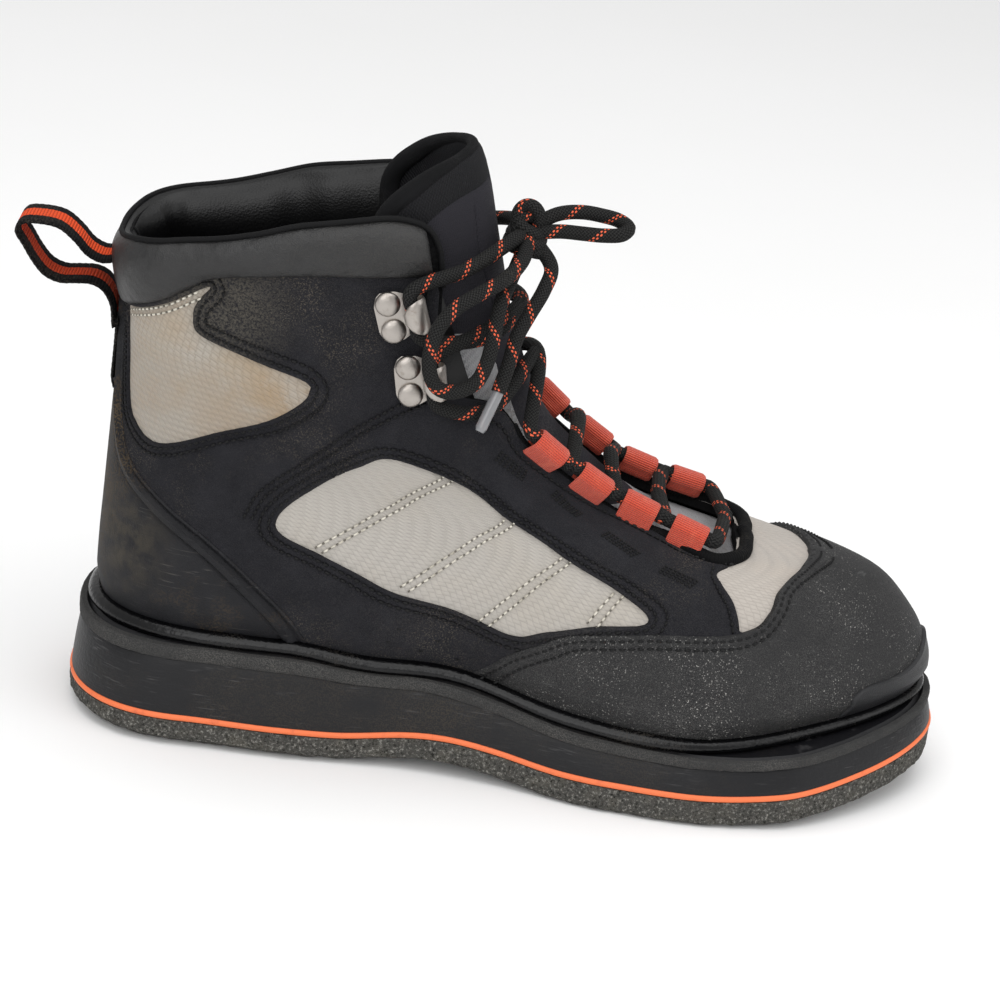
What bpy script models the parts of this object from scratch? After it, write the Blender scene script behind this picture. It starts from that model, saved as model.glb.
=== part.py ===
"""A wading boot for the right foot, standing empty on its felt sole.

The toe points along +X, the outer (lateral) side of the foot faces -Y, and the floor is z = 0.
The origin is the middle of the heel's flat spot.  Lengths are in metres.  The tables and functions
count x from the rear of the sole, and build() moves the finished boot at the end.
"""
import math

import bmesh
import bpy
import numpy as np
from mathutils import Matrix, Vector
from mathutils.geometry import delaunay_2d_cdt

# Clearance between touching pieces.
GAP = 0.0003

# Sole.
SOLE_LENGTH = 0.320
HEEL_WIDTH = 0.092
WAIST_WIDTH = 0.0865
BALL_WIDTH = 0.1235
TOE_WIDTH = 0.108
FELT_THICKNESS = 0.0100
STRIPE_THICKNESS = 0.0020
HEEL_SEAT = 0.0385
BALL_SEAT = 0.0250
TOE_SPRING = 0.0114
ARCH_RISE = 0.0040
SOLE_STATIONS = 60
FELT_BEVEL = 0.0055
RIDGE_INSET = 0.0018
RIDGE_DEPTH = 0.0010
RIDGE_WIDTH = 0.0026
GROOVE_DEPTH = 0.0012

# Upper.
UPPER_FACET = 0.0120
TONGUE_FACET = 0.0105
FACET_GAP = 0.00085
UPPER_WALL = 0.0026
SHAFT_RISE = 0.160
OVERLAY = 0.0013
CUFF = 0.0022
BUMPER = 0.0020
BEAD_HEIGHT_LEVELS = 0.50
BEAD_CLEARANCE = 0.06
BEAD_DEPTH = 0.0044
INSOLE_THICKNESS = 0.0035
INSOLE_FIT = 0.0010
TONGUE_THICKNESS = 0.0050
TONGUE_EDGE = 0.0024

# Hardware and laces.
LACE = 0.0052
LACE_CLEARANCE = 0.0009
WEBBING = 0.0011
LOOP_WIDTH = 0.0130
LOOP_FOOT = 0.0085
HOOK_GAUGE = 0.0010
HOOK_WIDTH = 0.0125
HOOK_REACH = 0.0085
RIVET_DIAMETER = 0.0088
RIVET_HEIGHT = 0.0022
PULL_WIDTH = 0.020
PULL_THICKNESS = 0.0016

# Plan of the sole: how far along, the width there, and the shares of it on each side of y = 0.
SOLE_PLAN = (
    # along, width, lateral, medial
    (0.000, HEEL_WIDTH, 0.500, 0.500),
    (0.140, HEEL_WIDTH, 0.500, 0.500),
    (0.250, HEEL_WIDTH, 0.520, 0.485),
    (0.375, WAIST_WIDTH, 0.540, 0.455),
    (0.500, WAIST_WIDTH, 0.600, 0.490),
    (0.620, BALL_WIDTH, 0.505, 0.420),
    (0.725, BALL_WIDTH, 0.534, 0.458),
    (0.820, BALL_WIDTH, 0.505, 0.463),
    (0.910, TOE_WIDTH, 0.485, 0.455),
    (1.000, TOE_WIDTH, 0.400, 0.400),
)
HEEL_ROUND = 0.144
TOE_ROUND = 0.200

# Shares of the sole's length where the heel's flat ends, the forefoot's begins and the toe lifts,
# and where the middle of the heel's flat spot lies.
HEEL_FLAT_END = 0.300
BALL_FLAT_START = 0.580
BALL_FLAT_END = 0.703
HEEL_REST = 0.150

# Height of the seat on which the upper stands, between HEEL_SEAT (1) and BALL_SEAT (0).
SEAT = ((0.00, 1.00), (0.25, 1.00), (0.375, 0.63), (0.625, 0.09), (0.735, 0.00), (1.00, -0.04))

# How far the worn edge of the felt stands above the floor, in shares of the felt's thickness.
FELT_EDGE = ((0.00, 0.44), (0.08, 0.30), (0.30, 0.24), (0.45, 0.16), (0.62, 0.08), (1.00, 0.08))

# Height of the ridge round the top of the midsole, as shares of the midsole's own height.
RIDGE = ((0.00, 0.20), (0.30, 0.20), (0.60, 0.27), (1.00, 0.27))

# The upper, level by level from the seat (row 0) to above the collar (row 13).
# back and front: how far along the sole.  low and high: rise at back and front, in SHAFT_RISE.
# heel, waist, ball, toe: half widths, in the sole's widths of those names.
# dip: how much of the seat's slope the level follows.  lean: how much of the sole's curve.
LEVELS = (
    # back, low, front, high, heel, waist, ball, toe, dip, lean
    (0.0328, 0.000, 0.9656, 0.000, 0.392, 0.398, 0.415, 0.380, 1.00, 1.00),
    (0.0306, 0.082, 0.9766, 0.065, 0.413, 0.422, 0.433, 0.398, 0.95, 1.00),
    (0.0312, 0.163, 0.9672, 0.129, 0.418, 0.434, 0.425, 0.389, 0.80, 0.95),
    (0.0328, 0.244, 0.9453, 0.192, 0.408, 0.434, 0.401, 0.366, 0.60, 0.80),
    (0.0344, 0.332, 0.9140, 0.246, 0.397, 0.428, 0.364, 0.333, 0.40, 0.65),
    (0.0360, 0.419, 0.8610, 0.273, 0.380, 0.422, 0.324, 0.296, 0.20, 0.50),
    (0.0375, 0.501, 0.7720, 0.300, 0.364, 0.416, 0.292, 0.268, 0.10, 0.35),
    (0.0406, 0.576, 0.6690, 0.344, 0.348, 0.410, 0.271, 0.250, 0.00, 0.20),
    (0.0422, 0.644, 0.5840, 0.444, 0.337, 0.405, 0.263, 0.241, 0.00, 0.10),
    (0.0422, 0.707, 0.5250, 0.569, 0.332, 0.399, 0.259, 0.241, 0.00, 0.00),
    (0.0390, 0.776, 0.4780, 0.757, 0.332, 0.399, 0.259, 0.241, 0.00, 0.00),
    (0.0338, 0.844, 0.4500, 0.926, 0.332, 0.399, 0.259, 0.241, 0.00, 0.00),
    (0.0312, 0.894, 0.4310, 1.088, 0.332, 0.399, 0.259, 0.241, 0.00, 0.00),
    (0.0310, 0.957, 0.4160, 1.194, 0.332, 0.399, 0.259, 0.241, 0.00, 0.00),
)
# Shares of a level's run at which the four widths and the ends are held.
RUN = (0.00, 0.14, 0.42, 0.72, 0.92, 1.00)
LEVEL_HEEL_ROUND = 0.16
LEVEL_TOE_ROUND = (0.36, 0.012)

# Half the way round the upper at each level, and from one level to the next, for even facets.
GIRTH = ((0.0, 0.31), (3.0, 0.30), (5.0, 0.27), (7.0, 0.22), (9.0, 0.18), (13.0, 0.155))
LEVEL_STEP = 0.0130

# Lines on the upper, as (round, level): round is 0 at the heel seam and 1 at the toe's ridge.
COLLAR_LINE = (
    (0.00, 11.70), (0.08, 11.85), (0.16, 11.98), (0.25, 11.95), (0.35, 11.88), (0.42, 11.92),
    (0.49, 12.00), (0.56, 11.95), (0.64, 11.90), (0.69, 11.77), (0.722, 11.57), (0.738, 11.25),
)
THROAT_LINE = (
    (0.738, 11.25), (0.728, 10.70), (0.705, 10.10), (0.685, 9.60), (0.682, 9.35), (0.705, 9.25),
    (0.760, 9.20), (0.785, 8.95), (0.780, 8.54), (0.800, 7.97), (0.815, 7.29), (0.800, 6.46),
    (0.790, 5.80), (0.830, 5.55), (0.900, 5.72), (0.960, 5.92), (1.000, 6.00),
)
COUNTER_LINE = (
    (0.344, 0.56), (0.314, 1.50), (0.276, 2.51), (0.236, 3.31), (0.180, 4.03), (0.118, 4.78),
    (0.090, 5.71), (0.072, 7.00), (0.055, 8.50), (0.048, 9.05),
)
CAP_LINE = (
    (0.476, 0.56), (0.484, 0.90), (0.498, 1.48), (0.524, 2.15), (0.550, 2.68), (0.578, 2.92),
    (0.638, 3.26), (0.694, 3.36), (0.718, 3.48), (0.742, 3.83), (0.780, 4.50), (0.850, 5.05),
    (0.930, 5.33), (1.000, 5.40),
)
CUFF_LINE = (
    (0.000, 9.20), (0.060, 9.35), (0.140, 9.75), (0.220, 10.15), (0.284, 10.55), (0.338, 10.85),
    (0.400, 10.95), (0.500, 11.00), (0.620, 10.95), (0.715, 10.95),
)
BUMPER_LINE = (
    (0.796, 0.58), (0.800, 0.85), (0.806, 1.20), (0.832, 1.38), (0.862, 1.37), (0.894, 1.43),
    (0.934, 1.63), (0.968, 1.90), (1.000, 2.02),
)
ANKLE_WINDOW = (
    (0.326, 10.62), (0.298, 10.27), (0.280, 9.85), (0.292, 9.37), (0.376, 9.12), (0.448, 8.95),
    (0.450, 8.70), (0.400, 7.92), (0.280, 6.54), (0.162, 5.50), (0.120, 5.85), (0.098, 6.60),
    (0.086, 7.60), (0.075, 8.80), (0.078, 9.35), (0.140, 9.62), (0.220, 10.02),
)
SIDE_WINDOW = (
    (0.312, 3.96), (0.340, 4.84), (0.444, 6.64), (0.524, 7.39), (0.572, 7.24), (0.566, 5.94),
    (0.576, 4.81), (0.606, 4.08), (0.618, 3.42), (0.574, 3.08), (0.532, 2.55), (0.496, 2.05),
    (0.456, 2.28), (0.418, 2.48), (0.380, 2.96), (0.350, 3.26), (0.318, 3.60),
)
EYESTAY_END = (
    (0.702, 3.62), (0.712, 4.13), (0.738, 5.00), (0.800, 5.20), (0.880, 5.42), (0.950, 5.64),
    (1.000, 5.74),
)
# How far neighbouring overlays stay apart, in round and in levels.
SEAM = (0.006, 0.07)

# The tongue, measured from the boot's middle line: (round from the ridge, level) of its edge.
TONGUE_EDGE_LINE = (
    (0.00, 12.66), (0.12, 12.62), (0.22, 12.50), (0.30, 12.25), (0.355, 11.90), (0.375, 11.40),
    (0.372, 10.50), (0.36, 9.70), (0.31, 8.70), (0.27, 7.60), (0.26, 6.40), (0.22, 5.40),
    (0.12, 5.02), (0.00, 4.95),
)
# How far the tongue's ridge lies inside the upper's surface: (level, depth in tongue thickness).
TONGUE_RIDGE = ((4.9, 0.80), (6.0, 0.76), (7.0, 0.46), (8.0, 0.44), (9.0, 0.90), (10.0, 0.70),
                (11.0, 0.40), (12.0, 0.50), (12.7, 0.80))

# Middles of the lace loops along the throat and of the hooks' rivets, as (round, level).
LOOP_LEVELS = (8.30, 7.62, 6.92, 6.16)
HOOKS = ((0.622, 10.36), (0.622, 9.42))
RIVET_SPACING = 0.0100
# How much higher the laces cross the ridge than they leave the loops, in levels.
RIDGE_LEAD = 0.70

# Free cords and strap, points chosen by hand along each route.
KNOT_CENTRE = (0.1505, -0.0020, 0.1935)
KNOT_SIZE = (0.0115, 0.0130, 0.0150)
PULL_ROUTE = (
    (0.0030, 0.0, 0.1683), (-0.0020, 0.0, 0.1704), (-0.0066, 0.0, 0.1751),
    (-0.0124, 0.0, 0.1793), (-0.0199, 0.0, 0.1803), (-0.0257, 0.0, 0.1794),
    (-0.0272, 0.0, 0.1762), (-0.0244, 0.0, 0.1716), (-0.0206, 0.0, 0.1657),
    (-0.0165, 0.0, 0.1613), (-0.0114, 0.0, 0.1594), (-0.0058, 0.0, 0.1598),
    (-0.0002, 0.0, 0.1600), (0.0042, 0.0, 0.1580), (0.0076, 0.0, 0.1525), (0.0088, 0.0, 0.1440),
)
# Ways in which the free cords leave the knot.
TO_BOW_LEFT = (0.25, -0.93, -0.25)
FROM_BOW_LEFT = (0.00, -0.50, -0.87)
TO_FREE_END = (0.75, -0.25, -0.61)
TO_BOW_RIGHT = (0.66, 0.25, 0.71)
FROM_BOW_RIGHT = (0.95, -0.05, 0.10)
BOW_LEFT = (
    (0.1496, -0.0180, 0.1877), (0.1440, -0.0282, 0.1838),
    (0.1352, -0.0375, 0.1805), (0.1280, -0.0435, 0.1765), (0.1232, -0.0475, 0.1700),
    (0.1215, -0.0496, 0.1615), (0.1220, -0.0502, 0.1558), (0.1245, -0.0500, 0.1508),
    (0.1285, -0.0488, 0.1486), (0.1335, -0.0470, 0.1490), (0.1384, -0.0442, 0.1518),
    (0.1412, -0.0404, 0.1575), (0.1426, -0.0357, 0.1656), (0.1438, -0.0285, 0.1748),
    (0.1465, -0.0175, 0.1805),
)
FREE_END = (
    (0.1603, -0.0075, 0.1833), (0.1585, -0.0138, 0.1768), (0.1542, -0.0203, 0.1693),
    (0.1507, -0.0260, 0.1627), (0.1490, -0.0312, 0.1553), (0.1475, -0.0344, 0.1499),
    (0.1462, -0.0366, 0.1457),
)
AGLET_END = (0.1412, -0.0432, 0.1330)
BOW_RIGHT = (
    (0.1620, 0.0032, 0.2035), (0.1710, 0.0065, 0.2025),
    (0.1773, 0.0085, 0.2008), (0.1834, 0.0080, 0.1998), (0.1868, 0.0040, 0.1980),
    (0.1848, -0.0015, 0.1955), (0.1785, -0.0040, 0.1940), (0.1715, -0.0045, 0.1935),
)


def clear_scene():
    for thing in list(bpy.data.objects):
        bpy.data.objects.remove(thing, do_unlink=True)


def material(name, colour, roughness, metallic=0.0):
    made = bpy.data.materials.new(name)
    made.use_nodes = True
    shader = made.node_tree.nodes["Principled BSDF"]
    shader.inputs["Base Color"].default_value = (*colour, 1.0)
    shader.inputs["Roughness"].default_value = roughness
    shader.inputs["Metallic"].default_value = metallic
    return made


def add_object(name, mesh, finish):
    made = bpy.data.objects.new(name, mesh)
    made.data.materials.append(finish)
    bpy.context.scene.collection.objects.link(made)
    return made


def mesh_from(name, points, faces, sharp=35.0):
    mesh = bpy.data.meshes.new(name)
    mesh.from_pydata([tuple(map(float, point)) for point in points], [], faces)
    work = bmesh.new()
    work.from_mesh(mesh)
    bmesh.ops.recalc_face_normals(work, faces=work.faces)
    work.to_mesh(mesh)
    work.free()
    mesh.shade_smooth()
    mesh.set_sharp_from_angle(angle=math.radians(sharp))
    return mesh


def slopes(places, values):
    """Slopes for a curve through the values along the last axis that never overshoots them."""
    step = np.diff(places)
    rise = np.diff(values, axis=-1) / step
    slope = np.zeros_like(values)
    for i in range(1, len(places) - 1):
        before, after = rise[..., i - 1], rise[..., i]
        turns = before * after <= 0
        first, second = 2 * step[i] + step[i - 1], step[i] + 2 * step[i - 1]
        safe_before, safe_after = np.where(turns, 1, before), np.where(turns, 1, after)
        mean = (first + second) / (first / safe_before + second / safe_after)
        slope[..., i] = np.where(turns, 0, mean)
    slope[..., -1] = rise[..., -1]
    return slope


def curve_through(places, values, at):
    """Read the curve through (places, values) at the given places."""
    places, at = np.asarray(places, float), np.asarray(at, float)
    values = np.asarray(values, float)
    slope = slopes(places, values)
    at = np.clip(at, places[0], places[-1])
    i = np.clip(np.searchsorted(places, at, side="right") - 1, 0, len(places) - 2)
    width = (places[1:] - places[:-1])[i]
    t = (at - places[i]) / width
    if values.ndim == 1:
        low, high, leave, arrive = values[i], values[i + 1], slope[i], slope[i + 1]
    else:
        def pick(grid, column):
            return np.take_along_axis(grid, column[..., None], -1)[..., 0]
        low, high, leave, arrive = (pick(values, i), pick(values, i + 1),
                                    pick(slope, i), pick(slope, i + 1))
    return ((1 + 2 * t) * (1 - t) ** 2 * low + t * (1 - t) ** 2 * width * leave
            + t * t * (3 - 2 * t) * high + t * t * (t - 1) * width * arrive)


def table_curve(rows, at):
    return curve_through([row[0] for row in rows], [row[1] for row in rows], at)


def flowing(points, per_span, closed=False):
    """A smooth line through the points, with per_span steps between each two."""
    points = np.asarray(points, float)
    if closed:
        guide = np.vstack([points[-1], points, points[0], points[1]])
    else:
        guide = np.vstack([2 * points[0] - points[1], points, 2 * points[-1] - points[-2]])
    t = np.linspace(0, 1, per_span, endpoint=False)[:, None]
    line = []
    for i in range(len(points) if closed else len(points) - 1):
        before, here, there, after = guide[i:i + 4]
        gaps = [max(math.sqrt(np.linalg.norm(b - a)), 1e-6)
                for a, b in ((before, here), (here, there), (there, after))]
        leave = ((here - before) / gaps[0] - (there - before) / (gaps[0] + gaps[1])) * gaps[1] \
            + (there - here)
        arrive = ((after - there) / gaps[2] - (after - here) / (gaps[1] + gaps[2])) * gaps[1] \
            + (there - here)
        line.append((1 + 2 * t) * (1 - t) ** 2 * here + t * (1 - t) ** 2 * leave
                    + t * t * (3 - 2 * t) * there + t * t * (t - 1) * arrive)
    if not closed:
        line.append(points[-1:])
    return np.vstack(line)


def evenly(line, spacing):
    """The line's points, spaced evenly, about `spacing` apart, ends kept."""
    run = np.concatenate([[0], np.cumsum(np.linalg.norm(np.diff(line, axis=0), axis=1))])
    count = max(2, int(round(run[-1] / spacing)) + 1)
    at = np.linspace(0, run[-1], count)
    return np.stack([np.interp(at, run, line[:, k]) for k in range(line.shape[1])], -1)


def round_end(share, power):
    """1 inside, falling to 0 along a rounded end as share goes from 1 to 0."""
    return (1 - np.clip(1 - share, 0, 1) ** power) ** (1 / power)


def half_width(along, side):
    """Half width of the sole on one side (-1 lateral, +1 medial), without its rounded ends."""
    column = 2 if side < 0 else 3
    return curve_through([row[0] for row in SOLE_PLAN],
                         [row[1] * row[column] for row in SOLE_PLAN], along)


def sole_lift(x):
    """How far the sole's underside stands off the floor."""
    along = np.asarray(x, float) / SOLE_LENGTH
    arch = np.clip((along - HEEL_FLAT_END) / (BALL_FLAT_START - HEEL_FLAT_END), 0, 1)
    toe = np.clip((along - BALL_FLAT_END) / (1 - BALL_FLAT_END), 0, 1)
    return ARCH_RISE * np.sin(math.pi * arch) ** 2 + TOE_SPRING * toe ** 2


def felt_edge(x):
    return sole_lift(x) + FELT_THICKNESS * table_curve(FELT_EDGE, np.asarray(x) / SOLE_LENGTH)


def felt_top(x):
    return sole_lift(x) + FELT_THICKNESS


def stripe_top(x):
    return felt_top(x) + GAP + STRIPE_THICKNESS


def seat(x):
    """Top of the midsole, on which the upper and the insole stand."""
    share = table_curve(SEAT, np.asarray(x) / SOLE_LENGTH)
    return sole_lift(x) + BALL_SEAT + (HEEL_SEAT - BALL_SEAT) * share


def wall_height(x, share):
    """A height on the midsole's wall, from the stripe (0) to the seat (1)."""
    base = stripe_top(x) + GAP
    return base + (seat(x) - base) * share


def ridge_foot(x):
    return wall_height(x, 1 - table_curve(RIDGE, np.asarray(x) / SOLE_LENGTH))


def sole_ring(inset, height):
    """A ring round the sole, from the heel along the lateral side; height is a function of x."""
    angle = np.arange(SOLE_STATIONS) / SOLE_STATIONS * 2 * math.pi
    run = (1 - np.cos(angle)) / 2
    x = inset + run * (SOLE_LENGTH - 2 * inset)
    side = np.where(angle < math.pi, -1, 1)
    width = np.where(side < 0, half_width(x / SOLE_LENGTH, -1), half_width(x / SOLE_LENGTH, 1))
    ends = round_end(run / HEEL_ROUND, 2.3) * round_end((1 - run) / TOE_ROUND, 2.2)
    return np.stack([x, side * (width - inset) * ends, height(x)], -1)


def stack_of_rings(name, rings, finish):
    """A closed plate through rings that run from its underside to its top."""
    count = SOLE_STATIONS
    half = count // 2
    faces = []
    for level in range(len(rings) - 1):
        low, high = level * count, (level + 1) * count
        for i in range(count):
            j = (i + 1) % count
            faces.append((low + i, low + j, high + j, high + i))
    for base in (0, (len(rings) - 1) * count):
        faces.append((base, base + 1, base + count - 1))
        faces.append((base + half - 1, base + half, base + half + 1))
        for i in range(1, half - 1):
            faces.append((base + i, base + i + 1, base + count - i - 1, base + count - i))
    return add_object(name, mesh_from(name, np.vstack(rings), faces), finish)


def make_felt(finish):
    stack_of_rings("outsole_felt", [
        sole_ring(FELT_BEVEL, sole_lift),
        sole_ring(FELT_BEVEL * 0.15, felt_edge),
        sole_ring(0.0, lambda x: felt_edge(x) + FELT_BEVEL * 0.15),
        sole_ring(0.0, felt_top),
    ], finish)


def make_stripe(finish):
    middle = STRIPE_THICKNESS / 2
    stack_of_rings("sole_stripe", [
        sole_ring(0.0, lambda x: felt_top(x) + GAP),
        sole_ring(-STRIPE_THICKNESS * 0.2, lambda x: felt_top(x) + GAP + middle),
        sole_ring(0.0, stripe_top),
    ], finish)


def make_midsole(finish):
    foot = RIDGE_INSET + RIDGE_DEPTH
    inner = RIDGE_INSET + RIDGE_WIDTH
    stack_of_rings("midsole", [
        sole_ring(RIDGE_INSET * 0.15, lambda x: wall_height(x, 0)),
        sole_ring(foot, lambda x: ridge_foot(x) - GROOVE_DEPTH * 0.6),
        sole_ring(RIDGE_INSET, ridge_foot),
        sole_ring(RIDGE_INSET, lambda x: seat(x) - RIDGE_DEPTH * 0.6),
        sole_ring(RIDGE_INSET + RIDGE_DEPTH * 0.6, seat),
        sole_ring(inner, seat),
        sole_ring(inner + GROOVE_DEPTH, lambda x: seat(x) - GROOVE_DEPTH),
        sole_ring(inner + GROOVE_DEPTH * 2.0, seat),
    ], finish)


def level_values(level):
    grid = np.array(LEVELS).T
    rows = np.arange(len(LEVELS))
    return [curve_through(rows, column, level) for column in grid]


def surface(way, level):
    """A point of the upper.

    way is how far round it lies: 0 at the heel seam, -1 at the toe by the lateral side and +1 at
    the toe by the medial side.  level counts the rows of LEVELS.
    """
    way, level = np.broadcast_arrays(np.asarray(way, float), np.asarray(level, float))
    back, low, front, high, heel, waist, ball, toe, dip, lean = level_values(level)
    run = (1 - np.cos(math.pi * np.abs(way))) / 2
    x = SOLE_LENGTH * (back + (front - back) * run)
    base = HEEL_SEAT + GAP + SHAFT_RISE * (low + (high - low) * run)
    z = base + dip * (seat(x) - seat(0.0))
    widths = [HEEL_WIDTH * heel, HEEL_WIDTH * heel, WAIST_WIDTH * waist, BALL_WIDTH * ball,
              TOE_WIDTH * toe, TOE_WIDTH * toe * 0.9]
    width = curve_through(RUN, np.stack(widths, -1), run)
    toe_round = LEVEL_TOE_ROUND[0] - LEVEL_TOE_ROUND[1] * level
    ends = round_end(run / LEVEL_HEEL_ROUND, 2.2) * round_end((1 - run) / toe_round, 2.15)
    along = x / SOLE_LENGTH
    middle = (half_width(along, 1) - half_width(along, -1)) / 2 * lean * 0.8
    y = (np.sign(way) * width + middle) * ends
    return np.stack([x, y, z], -1)


def outward(way, level):
    """Unit normals of the upper, pointing out of the boot."""
    step = 0.004
    way, level = np.broadcast_arrays(np.asarray(way, float), np.asarray(level, float))
    below, above = np.maximum(level - step, 0), level + step
    round_it = surface(wrapped(way + step), level) - surface(wrapped(way - step), level)
    up_it = surface(way, above) - surface(way, below)
    normal = np.cross(up_it, round_it)
    return normal / np.linalg.norm(normal, axis=-1)[..., None]


def wrapped(way):
    """Bring a way round the boot back into -1 to 1."""
    return (np.asarray(way) + 1) % 2 - 1


def raised(way, level, height):
    """Points at a height over the upper's surface (below it where the height is negative)."""
    return surface(way, level) + outward(way, level) * np.asarray(height)[..., None]


def inside(ring, points):
    """Which points lie inside the closed ring."""
    x, y = points[:, 0][:, None], points[:, 1][:, None]
    ax, ay = ring[:, 0], ring[:, 1]
    bx, by = np.roll(ax, -1), np.roll(ay, -1)
    crosses = (ay > y) != (by > y)
    reach = ax + (y - ay) * (bx - ax) / np.where(by == ay, 1, by - ay)
    return (np.sum(crosses & (x < reach), axis=1) % 2) == 1


def spread(points):
    """Lay (way, level) points out flat at about their real distances."""
    girth = table_curve(GIRTH, points[:, 1])
    return np.stack([points[:, 0] * girth, points[:, 1] * LEVEL_STEP], -1)


def gathered(points):
    level = points[:, 1] / LEVEL_STEP
    return np.stack([points[:, 0] / table_curve(GIRTH, level), level], -1)


def closely(ring, spacing):
    """The closed ring of (way, level) points with its long sides divided."""
    line = []
    for here, there in zip(ring, np.roll(ring, -1, axis=0)):
        length = np.linalg.norm(np.subtract(*spread(np.array([here, there]))))
        count = max(1, math.ceil(length / spacing))
        line.extend(here + (there - here) * i / count for i in range(count))
    return np.array(line)


def flat_patch(rings, spacing):
    """Triangles that fill the first ring and leave out the others; points are (way, level)."""
    scaled = [spread(closely(ring, spacing * 0.90)) for ring in rings]
    edges, boundary = [], []
    for ring in scaled:
        start = len(boundary)
        boundary.extend(ring)
        edges.extend((start + i, start + (i + 1) % len(ring)) for i in range(len(ring)))
    low, high = scaled[0].min(axis=0), scaled[0].max(axis=0)
    first, last = np.floor(low / spacing).astype(int) - 1, np.ceil(high / spacing).astype(int) + 1
    grid = np.array([(spacing * (column + (row % 2) / 2), spacing * row)
                     for row in range(first[1], last[1]) for column in range(first[0], last[0])])
    keep = inside(scaled[0], grid)
    for hole in scaled[1:]:
        keep &= ~inside(hole, grid)
    border = np.array(boundary)
    distance = np.sqrt(((grid[:, None, :] - border[None]) ** 2).sum(-1)).min(axis=1)
    grid = grid[keep & (distance > spacing * 0.34)]
    points = [Vector(point) for point in np.vstack([border, grid])]
    found, _, triangles, _, _, _ = delaunay_2d_cdt(points, edges, [], 0, 1e-7)
    found = np.array([tuple(point) for point in found])
    triangles = np.array([tuple(face) for face in triangles])
    centres = found[triangles].mean(axis=1)
    keep = inside(scaled[0], centres)
    for hole in scaled[1:]:
        keep &= ~inside(hole, centres)
    return gathered(found), triangles[keep]


def best_cut(points, triangles):
    """The same surface with its shared edges turned where that gives better triangles."""
    work = bmesh.new()
    verts = [work.verts.new(point) for point in points]
    for triangle in triangles:
        work.faces.new([verts[i] for i in triangle])
    shared = [edge for edge in work.edges if not edge.is_boundary]
    bmesh.ops.beautify_fill(work, faces=work.faces, edges=shared, method="ANGLE")
    work.verts.index_update()
    turned = [[vert.index for vert in face.verts] for face in work.faces]
    work.free()
    return turned


def shell(name, rings, spacing, place, low, high, finish):
    """A closed sheet over the patch inside the rings.

    place(u, v, height) gives the points; low and high are functions of (u, v) for its two faces.
    """
    flat, triangles = flat_patch(rings, spacing)
    u, v = np.round(flat, 5).T
    top = place(u, v, high(u, v))
    bottom = place(u, v, low(u, v))
    same = {}
    index = []
    for point in np.round(top, 7):
        index.append(same.setdefault(tuple(point), len(same)))
    index = np.array(index)
    first = np.array([np.argmax(index == i) for i in range(len(same))])
    triangles = index[triangles]
    triangles = best_cut(top[first], [t for t in triangles if len(set(t)) == 3])
    count = len(same)
    points = np.vstack([top[first], bottom[first]])
    sides = {}
    for a, b, c in triangles:
        for start, end in ((a, b), (b, c), (c, a)):
            sides[(start, end)] = sides.get((start, end), 0) + 1
    faces = [tuple(int(i) for i in t) for t in triangles]
    faces += [(int(c) + count, int(b) + count, int(a) + count) for a, b, c in triangles]
    for start, end in sides:
        if (end, start) not in sides:
            faces.append((int(end), int(start), int(start) + count, int(end) + count))
    return add_object(name, mesh_from(name, points, faces), finish)


def constant(height):
    return lambda u, v: np.full(np.shape(u), height)


def from_ridge(across, level, height):
    """Place points by their way from the toe's ridge: lateral below 0, medial above."""
    side = np.where(np.asarray(across) < 0, -1, 1)
    return raised(side * (1 - np.abs(across)), level, height)


def to_ridge(line):
    """Rewrite (round, level) points as ways from the toe's ridge."""
    line = np.asarray(line, float)
    return np.stack([1 - line[:, 0], line[:, 1]], -1)


def ring_of(*chains):
    """Join chains end to end into one ring, without repeated points."""
    ring = np.vstack(chains)
    keep = np.linalg.norm(ring - np.roll(ring, 1, axis=0), axis=1) > 1e-6
    return ring[keep]


def level_run(start, end, level, count):
    return np.stack([np.linspace(start, end, count), np.full(count, level)], -1)


def make_upper(finish):
    """The boot's own wall: open at the collar, down the throat and underneath."""
    heel_levels = np.linspace(0, COLLAR_LINE[0][1], 12)
    heel = np.stack([np.ones(12), heel_levels], -1)
    top = to_ridge(np.vstack([np.array(COLLAR_LINE), np.array(THROAT_LINE)]))
    half = np.vstack([heel[:-1], top])
    ring = ring_of(level_run(-1, 1, 0.0, 61), half[1:], (half * (-1, 1))[::-1][1:-1])
    shell("upper", [ring], UPPER_FACET, from_ridge,
          constant(-UPPER_WALL), constant(0.0), finish)


def level_out(way, level):
    """Unit directions that point straight out of the boot, level with the floor."""
    direction = outward(way, level) * (1, 1, 0)
    return direction / np.linalg.norm(direction, axis=1)[:, None]


def make_insole(finish):
    half = SOLE_STATIONS // 2
    way = np.concatenate([-np.arange(half), np.arange(half, 0, -1)]) / half
    edge = surface(way, 0.0) - level_out(way, np.zeros(len(way))) * (UPPER_WALL + INSOLE_FIT)
    rims = []
    for rise in (GAP, INSOLE_THICKNESS + GAP):
        rim = edge.copy()
        rim[:, 2] = seat(rim[:, 0]) + rise
        rims.append(rim)
    stack_of_rings("insole", rims, finish)


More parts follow.
